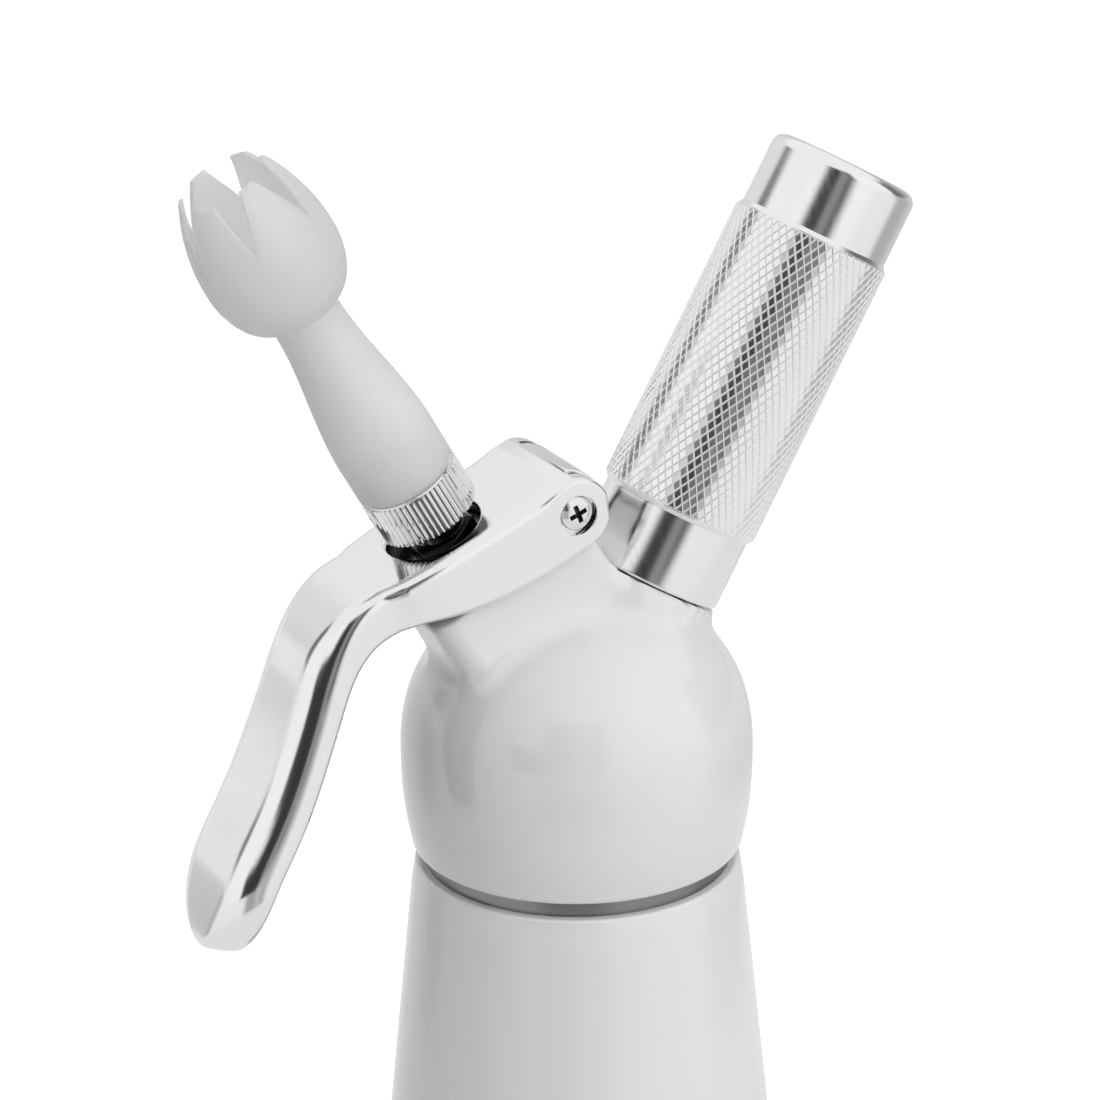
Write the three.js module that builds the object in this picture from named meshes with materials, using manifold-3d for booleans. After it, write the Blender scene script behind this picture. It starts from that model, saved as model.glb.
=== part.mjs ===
// Whipped cream dispenser: a flask with a screwed-on head, a lever-worked cream valve with a tulip nozzle,
// and a knurled holder for a small gas charger. Millimetres, +Z up, origin at the centre of the flask's base.
// The handle points to -X, the charger holder leans to +X, and the near side of the view is -Y.
import * as THREE from 'three';
import { mergeVertices } from 'three/addons/utils/BufferGeometryUtils.js';
import Module from 'manifold-3d';

const wasm = await Module();
wasm.setup();

// Clearances, overruns and facet counts
const fit = 0.3;
const weld = 0.2;
const overrun = 2;
const fineSides = 48;
const midSides = 32;
const smallSides = 20;
const tinySides = 12;
const turn = 2 * Math.PI;
const quarter = Math.PI / 2;
const degree = Math.PI / 180;
const fullTurn = 360;
const sameCorner = 1e-5;
const cornerSteps = 4;
const edgeSteps = 3;
const bendSteps = 2;

// Flask
const flask = {
  shoulderHeight: 165,
  bodyRadius: 37.7,
  bodyTop: 52,
  coneStart: 98,
  shoulderRadius: 28.6,
  shoulderEdge: 1.0,
  baseCorner: 6,
  wall: 1.6,
  baseThickness: 2.2,
  collarRadius: 25.7,
  groove: 3.4,
  neckRadius: 23.6,
  neckHeight: 12.5,
  mouthRadius: 20.6,
  lip: 0.8,
};
const seamHeight = flask.shoulderHeight + flask.groove;

// Head casting, heights above its lower edge
const head = {
  edgeRadius: 28.3,
  domeRadius: 30.2,
  bulgeHeight: 17,
  domeHeight: 45,
  domePower: 2.3,
  skirtPower: 2.3,
  axesX: -1.8,
  axesZ: 19.4,
  valveLean: 29.5,
  holderLean: 30,
  cavityHeight: 30,
  cavityPower: 2.4,
  gasketThickness: 1.6,
};
const threadRadius = flask.neckRadius + fit;
const rimHeight = flask.neckHeight - fit;
const gasketSeat = rimHeight + head.gasketThickness + 2 * fit;

// Valve tower and everything on the valve axis, heights along that axis from the crossing of the two axes
const tower = {
  radius: 10.4,
  shoulder: 32.6,
  topRadius: 9,
  top: 37,
  flare: 5,
  flareHeight: 7,
  boreRadius: 7.4,
  boreFloor: 19.5,
  seatRadius: 4.8,
  seat: 13.5,
  spotRadius: 7.6,
};
const lug = {
  frontX: 14.1,
  rearX: 21,
  rearZ: 27.5,
  rootX: 14.2,
  rootZ: 15.6,
  bossEnd: -8,
  bossSteps: 10,
};
const stem = {
  radius: 3.6,
  boreRadius: 2.1,
  spigotRadius: 2.6,
  flangeRadius: 9.1,
  flangeThickness: 2.4,
  edge: 0.5,
  hexRadius: 6.2,
  hexHeight: 2.6,
  threadRadius: 5,
  top: 57.5,
  portRadius: 1.2,
  portHeight: 16.6,
};
const seal = { radius: 6.6, thickness: 2.2 };
const sealScrew = {
  headRadius: 4.6,
  headThickness: 2.2,
  shankRadius: 1.3,
  shankLength: 3.4,
  slotWidth: 1.1,
  slotDepth: 1,
};
const ring = { thickness: 3 };
const guide = { height: 4.6 };
const spring = { wireRadius: 0.6, curls: 6, steps: 8, sides: 5, endShare: 1.5 };

// Lever: side view in the valve frame, x to the rear of the valve axis and z along it
const lever = {
  pivotX: 18.5,
  pivotZ: 40.5,
  plateHeight: 6.1,
  earRadius: 6.3,
  earFlat: 5.87,
  earFlatAngle: 22,
  halfWidth: 12.5,
  wall: 3.1,
  plate: 2.4,
  topSlopeShare: 0.112,
  skirtEnd: -12.7,
  skirtRise: 7.7,
  crownX: -15,
  crownDepth: 8.2,
  waistHalfWidth: 10.4,
  handleReach: 57.9,
  handleDrop: 36.4,
  handleHalfWidth: 12,
  handleDepth: 7.2,
  topRound: 2.2,
  gripRound: 5.6,
  bottomRound: 1.2,
  holeRadius: 8.2,
  holeShift: 0.9,
  padHalfLength: 2.5,
  padDrop: 0.9,
  rearEdge: 3.3,
  rollRadius: 6.5,
  rollThickness: 1.7,
  rollHalfWidth: 8,
  rollStart: 62.5,
  rollEnd: -12,
  rollSteps: 7,
};
const earAngles = [82, 66, 46, 24];
const taperShares = { start: 0.7, span: 0.6, grip: 0.7, depth: 0.46, round: 0.28 };
const roundShares = { upper: 0.8, lower: 0.18, width: 0.9 };
// The handle's back, as shares of its reach away from the crown and of its drop below it
const handleShares = [[0, 0], [0.07, -0.026], [0.143, -0.013], [0.212, 0.023], [0.276, 0.08], [0.329, 0.148],
  [0.379, 0.224], [0.46, 0.333], [0.539, 0.435], [0.621, 0.533], [0.71, 0.623], [0.784, 0.69], [0.855, 0.774],
  [0.923, 0.866], [0.965, 0.935], [1, 1]];
const tipStartShare = 0.79;
const tipPower = 0.35;
const tipRoundPower = 0.8;
const tipReachShare = 0.93;
const pivot = {
  sleeveRadius: 2.6,
  sleeveHeadRadius: 3.4,
  sleeveHeadThickness: 1.2,
  screwRadius: 1.5,
  capRadius: 3.1,
  capThickness: 1.5,
  screwRecess: 2.2,
  crossWidth: 1,
  crossSpan: 4.4,
  crossDepth: 0.9,
};

// Ferrule and nozzle
const ferrule = {
  bottom: 51.1,
  height: 8.5,
  radius: 8.75,
  rootRadius: 8.3,
  splines: 55,
  toothShares: [0.35, 0.65],
  bandHeight: 0.7,
  spigotRadius: 6.3,
  spigotHeight: 6,
};
const nozzle = {
  seatRadius: 8.65,
  neckRadius: 5.85,
  taperEnd: 93.4,
  neckHeight: 95.2,
  straightShare: 0.2,
  bulbRadius: 11.65,
  bulbPower: 2,
  bulbHeight: 105.5,
  tipRadius: 7.9,
  tipHeight: 120.8,
  wall: 1.3,
  boreRadius: 3.4,
  petals: 6,
  notchDepth: 10.4,
  notchWidth: 4.8,
  petalTurnShare: 0.658,
  petalPower: 2.05,
};

// Charger holder and everything on its axis, heights along that axis
const holder = {
  bottom: 30.4,
  height: 77.65,
  endRadius: 13.15,
  knurlRadius: 14,
  knurlStart: 13.2,
  knurlEnd: 63.9,
  edge: 0.6,
  topRound: 2.2,
  threadRadius: 10.9,
  threadHeight: 14,
};
const port = {
  radius: 10.6,
  height: 13,
  plugRadius: 7.6,
  plugBottom: 20,
  socketRadius: 5.2,
  socketDepth: 7.9,
  pinSeatRadius: 3.7,
  pinSeat: 27,
  gasRadius: 1.6,
};
const charger = {
  radius: 9,
  length: 65.8,
  neckRadius: 4.4,
  neckLength: 6.5,
  shoulderLength: 9,
  wall: 1.3,
  piercedRadius: 1.4,
};
const liner = { wall: 0.9, start: 16 };
const pin = { baseRadius: 3.4, needleRadius: 1.1, tipRadius: 0.7, reach: 2.2, gasRadius: 0.4 };
const chargerSeal = { thickness: 1.3, boreRadius: 1.5 };
const inlet = {
  seat: 14,
  spotRadius: 6,
  discRadius: 4.8,
  discThickness: 1.4,
  screwRadius: 1.4,
  capRadius: 3,
  capThickness: 1.6,
  screwLength: 4.5,
  passageRadius: 0.8,
  passageOffset: 3.4,
};

// Finishes
const whiteLacquer = { color: 0xf2f1ef, roughness: 0.18, metalness: 0 };
const castMetal = { color: 0xdcdad6, roughness: 0.22, metalness: 1 };
const chrome = { color: 0xe4e4e6, roughness: 0.12, metalness: 1 };
const turnedAluminium = { color: 0xd9dadc, roughness: 0.2, metalness: 1 };
const brass = { color: 0xc9a860, roughness: 0.3, metalness: 1 };
const steel = { color: 0xb9babc, roughness: 0.3, metalness: 1 };
const rubber = { color: 0x2c2c2d, roughness: 0.7, metalness: 0 };
const silicone = { color: 0xc9c9c7, roughness: 0.5, metalness: 0 };
const milkyPlastic = { color: 0xefefee, roughness: 0.45, metalness: 0 };
const greyPlastic = { color: 0x9a9b9c, roughness: 0.5, metalness: 0 };

// A closed geometry becomes a solid: its corners are shared, and its faces are turned outwards
function toSolid(geometry) {
  const bare = geometry.index ? geometry.clone() : geometry;
  bare.deleteAttribute('normal');
  bare.deleteAttribute('uv');
  const merged = mergeVertices(bare, sameCorner);
  const corners = [];
  const index = merged.index.array;
  for (let i = 0; i < index.length; i += 3) {
    const [a, b, c] = [index[i], index[i + 1], index[i + 2]];
    if (a !== b && b !== c && c !== a) corners.push(a, b, c);
  }
  const vertProperties = new Float32Array(merged.attributes.position.array);
  const build = (list) => new wasm.Manifold(
    new wasm.Mesh({ numProp: 3, vertProperties, triVerts: new Uint32Array(list) }));
  const solid = build(corners);
  if (solid.volume() > 0) return solid;
  return build(corners.map((_, i) => corners[i - (i % 3) + 2 - (i % 3)]));
}

function toGeometry(solid) {
  const mesh = solid.getMesh();
  const geometry = new THREE.BufferGeometry();
  geometry.setAttribute('position', new THREE.BufferAttribute(new Float32Array(mesh.vertProperties), 3));
  geometry.setIndex(new THREE.BufferAttribute(new Uint32Array(mesh.triVerts), 1));
  return geometry;
}

function makeMesh(name, solid, finish) {
  const mesh = new THREE.Mesh(toGeometry(solid), new THREE.MeshStandardMaterial(finish));
  mesh.name = name;
  return mesh;
}

const move = (solid, x, y, z) => solid.translate([x, y, z]);
const joinAll = (solids) => solids.reduce((whole, solid) => whole.add(solid));
const cutAll = (whole, tools) => tools.reduce((rest, tool) => rest.subtract(tool), whole);

// Revolves [radius, height] points about Z
function revolve(points, sides) {
  const profile = points.map(([r, z]) => new THREE.Vector2(r, z));
  return toSolid(new THREE.LatheGeometry(profile, sides).rotateX(quarter));
}

// A plain cylinder along Z from one height to another
function rod(radius, bottom, top, sides) {
  const shape = new THREE.CylinderGeometry(radius, radius, top - bottom, sides).rotateX(quarter);
  return move(toSolid(shape), 0, 0, (top + bottom) / 2);
}

// A straight tube along Z
const tube = (outer, inner, bottom, top, sides) =>
  revolve([[inner, bottom], [outer, bottom], [outer, top], [inner, top], [inner, bottom]], sides);

// A block given by its low and high corners
function block(low, high) {
  const size = high.map((value, i) => value - low[i]);
  const centre = high.map((value, i) => (value + low[i]) / 2);
  return move(toSolid(new THREE.BoxGeometry(...size)), ...centre);
}

// A plate cut from a side view: the outline lies in XZ, and the plate spans Y evenly about zero
function sidePlate(points, halfWidth) {
  const outline = new THREE.Shape(points.map(([x, z]) => new THREE.Vector2(x, z)));
  const plate = new THREE.ExtrudeGeometry(outline, { depth: 2 * halfWidth, bevelEnabled: false });
  return toSolid(plate.rotateX(quarter).translate(0, halfWidth, 0));
}

// Points of an arc in a side view, angles in degrees from +X towards +Z
function arcPoints(x, z, radius, from, to, steps) {
  return Array.from({ length: steps + 1 }, (_, i) => {
    const angle = (from + ((to - from) * i) / steps) * degree;
    return [x + radius * Math.cos(angle), z + radius * Math.sin(angle)];
  });
}

// Skins rings of equally many points into one closed solid, with a fan at each end
function loft(rings) {
  const count = rings[0].length;
  const positions = rings.flat(2);
  const index = [];
  for (let r = 0; r < rings.length - 1; r += 1) {
    for (let i = 0; i < count; i += 1) {
      const a = r * count + i;
      const b = r * count + ((i + 1) % count);
      index.push(a, b, a + count, b, b + count, a + count);
    }
  }
  const fans = [[0, true], [rings.length - 1, false]];
  for (const [r, reversed] of fans) {
    const hub = positions.length / 3;
    const sum = rings[r].reduce((total, p) => total.map((value, k) => value + p[k]), [0, 0, 0]);
    positions.push(...sum.map((value) => value / count));
    for (let i = 0; i < count; i += 1) {
      const a = r * count + i;
      const b = r * count + ((i + 1) % count);
      index.push(...(reversed ? [hub, b, a] : [hub, a, b]));
    }
  }
  const geometry = new THREE.BufferGeometry();
  geometry.setAttribute('position', new THREE.Float32BufferAttribute(positions, 3));
  geometry.setIndex(index);
  return toSolid(geometry);
}

// Frames of the two leaning axes, seen from the head
const lean = (angle) => new THREE.Matrix4().makeRotationY(angle * degree)
  .setPosition(head.axesX, 0, head.axesZ);
const valveFrame = lean(-head.valveLean);
const holderFrame = lean(head.holderLean);
const inFrame = (solid, frame) => solid.transform(frame.elements);

// Flask: a cone on a straight body, with a collar that shows in the groove and a neck inside the head
function makeFlask() {
  const f = flask;
  const wallAt = (r) => r - f.wall;
  const slope = (f.bodyRadius - f.shoulderRadius) / (f.shoulderHeight - (f.bodyTop + f.coneStart) / 2);
  const coneRadius = f.shoulderRadius + slope * (f.shoulderHeight - f.coneStart);
  const bend = new THREE.QuadraticBezierCurve(
    new THREE.Vector2(f.bodyRadius, f.bodyTop),
    new THREE.Vector2(f.bodyRadius, (f.bodyTop + f.coneStart) / 2),
    new THREE.Vector2(coneRadius, f.coneStart));
  const side = bend.getPoints(cornerSteps).map((p) => [p.x, p.y]);
  const corner = arcPoints(f.bodyRadius - f.baseCorner, f.baseCorner, f.baseCorner, -90, 0, cornerSteps);
  const innerCornerRadius = f.baseCorner - f.wall;
  const innerCorner = arcPoints(f.bodyRadius - f.baseCorner, f.baseThickness + innerCornerRadius,
    innerCornerRadius, 0, -90, edgeSteps);
  const edge = arcPoints(f.shoulderRadius - f.shoulderEdge, f.shoulderHeight - f.shoulderEdge,
    f.shoulderEdge, 0, 90, edgeSteps);
  const rim = seamHeight + rimHeight;
  const collarTop = seamHeight - fit;
  const outside = [[0, 0], ...corner, ...side, ...edge, [f.collarRadius, f.shoulderHeight],
    [f.collarRadius, collarTop], [f.neckRadius, collarTop], [f.neckRadius, rim - f.lip],
    [f.neckRadius - f.lip, rim], [f.mouthRadius + f.lip, rim], [f.mouthRadius, rim - f.lip]];
  const throat = f.shoulderHeight - (f.shoulderRadius - f.mouthRadius);
  const inside = [[f.mouthRadius, f.shoulderHeight],
    [wallAt(f.shoulderRadius + slope * (f.shoulderHeight - throat)), throat],
    ...side.slice().reverse().map(([r, z]) => [wallAt(r), z]), ...innerCorner, [0, f.baseThickness]];
  return makeMesh('bottle', revolve([...outside, ...inside], fineSides), whiteLacquer);
}

function makeGasket() {
  const bottom = seamHeight + rimHeight + fit;
  const top = bottom + head.gasketThickness;
  const solid = tube(threadRadius - 2 * fit, flask.mouthRadius, bottom, top, midSides);
  return makeMesh('head_gasket', solid, silicone);
}

// Outline of the dome above the head's lower edge: it swells to its widest and closes over as a superellipse
function domeProfile() {
  const h = head;
  const points = [[0, 0]];
  const skirtSteps = 4;
  for (let i = 0; i <= skirtSteps; i += 1) {
    const z = (h.bulgeHeight * i) / skirtSteps;
    const shrink = (h.domeRadius - h.edgeRadius) * (1 - z / h.bulgeHeight) ** h.skirtPower;
    points.push([h.domeRadius - shrink, z]);
  }
  const domeSteps = 9;
  const rise = h.domeHeight - h.bulgeHeight;
  for (let i = 1; i <= domeSteps; i += 1) {
    const angle = (quarter * i) / domeSteps;
    const power = 2 / h.domePower;
    points.push([h.domeRadius * Math.max(Math.cos(angle), 0) ** power,
      h.bulgeHeight + rise * Math.sin(angle) ** power]);
  }
  points[points.length - 1][0] = 0;
  return points;
}

// Hollow under the dome: thread, gasket seat and a rounded roof
function headCavity() {
  const roofSteps = 5;
  const points = [[0, -overrun], [threadRadius, -overrun], [threadRadius, gasketSeat]];
  const rise = head.cavityHeight - gasketSeat;
  const power = 2 / head.cavityPower;
  for (let i = 0; i <= roofSteps; i += 1) {
    const angle = (quarter * i) / roofSteps;
    points.push([flask.mouthRadius * Math.max(Math.cos(angle), 0) ** power,
      gasketSeat + rise * Math.sin(angle) ** power]);
  }
  points[points.length - 1][0] = 0;
  return revolve(points, midSides);
}

// Boss with a foot that flares into the dome
function flaredBoss(radius, top, flare, foot, flareHeight) {
  const steps = cornerSteps;
  const points = [[0, 0], [radius + flare, 0], [radius + flare, foot - flareHeight]];
  for (let i = 1; i <= steps; i += 1) {
    const angle = (quarter * i) / steps;
    points.push([radius + flare * (1 - Math.sin(angle)), foot - flareHeight * Math.cos(angle)]);
  }
  points.push([radius, top], [0, top]);
  return revolve(points, midSides);
}

// Lug between the lever's ears, a side view in the valve frame
function lugOutline() {
  const radius = lever.rollRadius - lever.rollThickness - fit;
  const boss = arcPoints(lever.pivotX, lever.pivotZ, radius, 180, lug.bossEnd, lug.bossSteps);
  return [[0, 0], [0, tower.shoulder], [tower.topRadius, tower.shoulder], [lug.frontX, tower.top], ...boss,
    [lug.rearX, lug.rearZ], [lug.rootX, lug.rootZ], [lug.rootX, 0]];
}

function makeHead() {
  const t = tower;
  const lugHalfWidth = lever.halfWidth - lever.wall - fit;
  const valveTower = flaredBoss(t.radius, t.shoulder, t.flare, t.shoulder - t.flareHeight / 2, t.flareHeight);
  const valveTop = rod(t.topRadius, t.shoulder - weld, t.top, midSides);
  const bossTop = holder.bottom - fit;
  const holderBoss = flaredBoss(holder.endRadius, bossTop, t.flare / 2, bossTop - fit, t.flareHeight / 2);
  const holderRoom = rod(holder.endRadius + fit, bossTop, holder.bottom + holder.height, midSides);
  const raised = inFrame(joinAll([valveTower, valveTop, sidePlate(lugOutline(), lugHalfWidth)]), valveFrame);
  const body = joinAll([revolve(domeProfile(), fineSides), raised, inFrame(holderBoss, holderFrame)]);
  const lowRim = rod(2 * head.domeRadius, -2 * head.domeRadius, 0, smallSides);
  const valveBore = joinAll([
    rod(t.spotRadius, -overrun, t.seat, smallSides),
    rod(t.seatRadius, t.seat - weld, t.boreFloor + weld, smallSides),
    rod(t.boreRadius, t.boreFloor, t.top + overrun, smallSides),
    move(rod(pivot.sleeveRadius + fit, -2 * lugHalfWidth, 2 * lugHalfWidth, smallSides).rotate([90, 0, 0]),
      lever.pivotX, 0, lever.pivotZ)]);
  const passages = [0, 1].map((side) => move(
    rod(inlet.passageRadius, inlet.seat - weld, port.plugBottom, tinySides),
    0, (2 * side - 1) * inlet.passageOffset, 0));
  const gasBore = joinAll([
    rod(inlet.spotRadius, -overrun, inlet.seat, smallSides),
    rod(inlet.screwRadius + fit, inlet.seat - weld, inlet.seat + inlet.screwLength + fit, tinySides),
    rod(port.plugRadius + fit, port.plugBottom - fit, bossTop + overrun, smallSides), ...passages]);
  const solid = cutAll(body, [lowRim, headCavity(), inFrame(holderRoom, holderFrame),
    inFrame(valveBore, valveFrame), inFrame(gasBore, holderFrame)]);
  return makeMesh('head', solid, whiteLacquer);
}

// Heights that the valve's pieces share
const leverTop = (x) => lever.pivotZ + lever.plateHeight + lever.topSlopeShare * (lever.pivotX - x);
const padBottom = leverTop(0) - lever.plate - lever.padDrop;
const flangeTop = padBottom - fit;
const flangeBottom = flangeTop - stem.flangeThickness;
const hexTop = flangeTop + stem.hexHeight;
const sealTop = tower.seat - fit;
const sealBottom = sealTop - seal.thickness;
const guideBottom = tower.boreFloor + ring.thickness + 2 * fit;
const guideTop = guideBottom + guide.height;

function makeStem() {
  const s = stem;
  const profile = [[0, sealBottom], [s.spigotRadius, sealBottom], [s.spigotRadius, tower.seat],
    [s.radius, tower.seat], [s.radius, flangeBottom], [s.flangeRadius - s.edge, flangeBottom],
    [s.flangeRadius, flangeBottom + s.edge], [s.flangeRadius, flangeTop - s.edge],
    [s.flangeRadius - s.edge, flangeTop], [s.threadRadius, flangeTop], [s.threadRadius, s.top - s.edge],
    [s.threadRadius - s.edge, s.top], [0, s.top]];
  const hex = rod(s.hexRadius, flangeTop - weld, hexTop, 6);
  const bore = rod(s.boreRadius, s.portHeight - s.portRadius, s.top + overrun, tinySides);
  const port = rod(s.portRadius, -2 * s.radius, 2 * s.radius, tinySides).rotate([90, 0, 0]);
  const thread = rod(sealScrew.shankRadius + fit, 0, sealBottom + sealScrew.shankLength, tinySides);
  return makeMesh('valve_stem', cutAll(revolve(profile, midSides).add(hex),
    [bore, move(port, 0, 0, s.portHeight), thread]), chrome);
}

function makeSeal() {
  return makeMesh('valve_seal',
    tube(seal.radius, stem.spigotRadius + fit, sealBottom, sealTop, smallSides), rubber);
}

function makeSealScrew() {
  const s = sealScrew;
  const headTop = sealBottom - fit;
  const headBottom = headTop - s.headThickness;
  const solid = rod(s.headRadius, headBottom, headTop, smallSides)
    .add(rod(s.shankRadius, headTop - weld, sealBottom + s.shankLength - fit, tinySides));
  const slot = block([-s.headRadius - overrun, -s.slotWidth / 2, headBottom - overrun],
    [s.headRadius + overrun, s.slotWidth / 2, headBottom + s.slotDepth]);
  return makeMesh('valve_seal_screw', solid.subtract(slot), steel);
}

function makeStemRing() {
  const radius = ring.thickness / 2;
  const middle = stem.radius + fit + radius;
  const centre = tower.boreFloor + fit + radius;
  const points = arcPoints(middle, centre, radius, -180, 180, 2 * cornerSteps);
  return makeMesh('stem_o_ring', revolve(points, tinySides), rubber);
}

function makeGuide() {
  return makeMesh('valve_guide',
    tube(tower.boreRadius - fit, stem.radius + fit, guideBottom, guideTop, smallSides), brass);
}

// Return spring: one tube wound round the stem, from the guide up to the flange
class Helix extends THREE.Curve {
  constructor(radius, bottom, top, curls) {
    super();
    Object.assign(this, { radius, bottom, top, curls });
  }

  getPoint(t, target = new THREE.Vector3()) {
    const angle = turn * this.curls * t;
    return target.set(this.radius * Math.cos(angle), this.radius * Math.sin(angle),
      this.bottom + (this.top - this.bottom) * t);
  }
}

function makeSpring() {
  const radius = (stem.radius + tower.boreRadius) / 2;
  const wire = spring.wireRadius;
  const end = fit + wire * spring.endShare;
  const path = new Helix(radius, guideTop + end, flangeBottom - end, spring.curls);
  const section = new THREE.Shape(Array.from({ length: spring.sides }, (_, i) => {
    const angle = (turn * i) / spring.sides;
    return new THREE.Vector2(wire * Math.cos(angle), wire * Math.sin(angle));
  }));
  const geometry = new THREE.ExtrudeGeometry(section,
    { steps: spring.curls * spring.steps, extrudePath: path, bevelEnabled: false });
  const points = path.getPoints(spring.curls * spring.steps);
  let least = Infinity;
  points.forEach((p, i) => points.slice(i + spring.steps - 1).forEach((q) => {
    least = Math.min(least, p.distanceTo(q) - 2 * wire);
  }));
  console.log(`valve_spring: least gap between curls ${least.toFixed(2)} mm`);
  return makeMesh('valve_spring', toSolid(geometry), steel);
}

// Lever: stations down its length, each with a top point, a bottom point and a half width in the side view
function leverStations() {
  const l = lever;
  const stations = [];
  for (const angle of earAngles) {
    const half = l.earRadius * Math.cos(angle * degree);
    const x = l.pivotX + l.earRadius * Math.sin(angle * degree);
    stations.push({
      top: [x, Math.min(l.pivotZ + half, leverTop(x))],
      bottom: [x, l.pivotZ - half],
      halfWidth: l.halfWidth,
      topRound: l.topRound,
    });
  }
  const plateSteps = 8;
  const skirtLength = l.pivotX - l.skirtEnd;
  for (let i = 0; i <= plateSteps; i += 1) {
    const share = i / plateSteps;
    const x = l.pivotX - skirtLength * share;
    const taper = smooth((share - taperShares.start) / taperShares.span);
    stations.push({
      top: [x, leverTop(x)],
      bottom: [x, l.pivotZ - l.earRadius + l.skirtRise * share * share],
      halfWidth: l.halfWidth + (l.waistHalfWidth - l.halfWidth) * taper,
      topRound: l.topRound,
    });
  }
  const back = new THREE.SplineCurve(handleShares.map(([along, down]) => new THREE.Vector2(
    l.crownX - l.handleReach * along, leverTop(l.crownX) - l.handleDrop * down)));
  const gripSteps = 11;
  const tipSteps = 4;
  for (let i = 1; i <= gripSteps + tipSteps; i += 1) {
    const tipAngle = (Math.max(i - gripSteps, 0) / tipSteps) * tipReachShare * quarter;
    const grip = tipStartShare * Math.min(i / gripSteps, 1);
    const share = grip + (1 - tipStartShare) * Math.sin(tipAngle);
    const point = back.getPointAt(share);
    const tangent = back.getTangentAt(share);
    const round = Math.cos(tipAngle) ** tipRoundPower;
    const full = l.waistHalfWidth + (l.handleHalfWidth - l.waistHalfWidth) * smooth(share / taperShares.grip);
    const depth = l.crownDepth + (l.handleDepth - l.crownDepth) * smooth(share / taperShares.depth);
    const sink = (depth * (1 - round ** tipPower)) / 2;
    const inward = [-tangent.y, tangent.x];
    stations.push({
      top: [point.x + inward[0] * sink, point.y + inward[1] * sink],
      bottom: [point.x + inward[0] * (depth - sink), point.y + inward[1] * (depth - sink)],
      halfWidth: full * round,
      topRound: l.topRound + (l.gripRound - l.topRound) * smooth(share / taperShares.round),
    });
  }
  return stations;
}

// Smooth step from 0 to 1
function smooth(value) {
  const t = Math.min(Math.max(value, 0), 1);
  return t * t * (3 - 2 * t);
}

// A ring round one station: a flat-bottomed section with rounded upper and lower edges
function leverRing({ top, bottom, halfWidth, topRound }, bottomRound) {
  const height = Math.hypot(top[0] - bottom[0], top[1] - bottom[1]);
  const upper = Math.min(topRound, height * roundShares.upper, halfWidth * roundShares.width);
  const lower = Math.min(bottomRound, height * roundShares.lower, halfWidth * roundShares.width);
  const flat = [
    ...arcPoints(halfWidth - upper, height - upper, upper, 0, 90, cornerSteps),
    ...arcPoints(upper - halfWidth, height - upper, upper, 90, 180, cornerSteps),
    ...arcPoints(lower - halfWidth, lower, lower, 180, 270, bendSteps),
    ...arcPoints(halfWidth - lower, lower, lower, 270, 360, bendSteps)];
  return flat.map(([y, z]) => [
    bottom[0] + ((top[0] - bottom[0]) * z) / height, y, bottom[1] + ((top[1] - bottom[1]) * z) / height]);
}

// The hollow under the lever follows the same stations, a wall's thickness inside them
function channelStations(stations) {
  const l = lever;
  return stations.slice(earAngles.length, -edgeSteps).map(({ top, bottom, halfWidth }) => {
    const height = Math.hypot(top[0] - bottom[0], top[1] - bottom[1]);
    const down = [(bottom[0] - top[0]) / height, (bottom[1] - top[1]) / height];
    return {
      top: [top[0] + down[0] * l.plate, top[1] + down[1] * l.plate],
      bottom: [bottom[0] + down[0] * overrun, bottom[1] + down[1] * overrun],
      halfWidth: halfWidth - l.wall,
      topRound: l.bottomRound,
    };
  });
}

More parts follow.
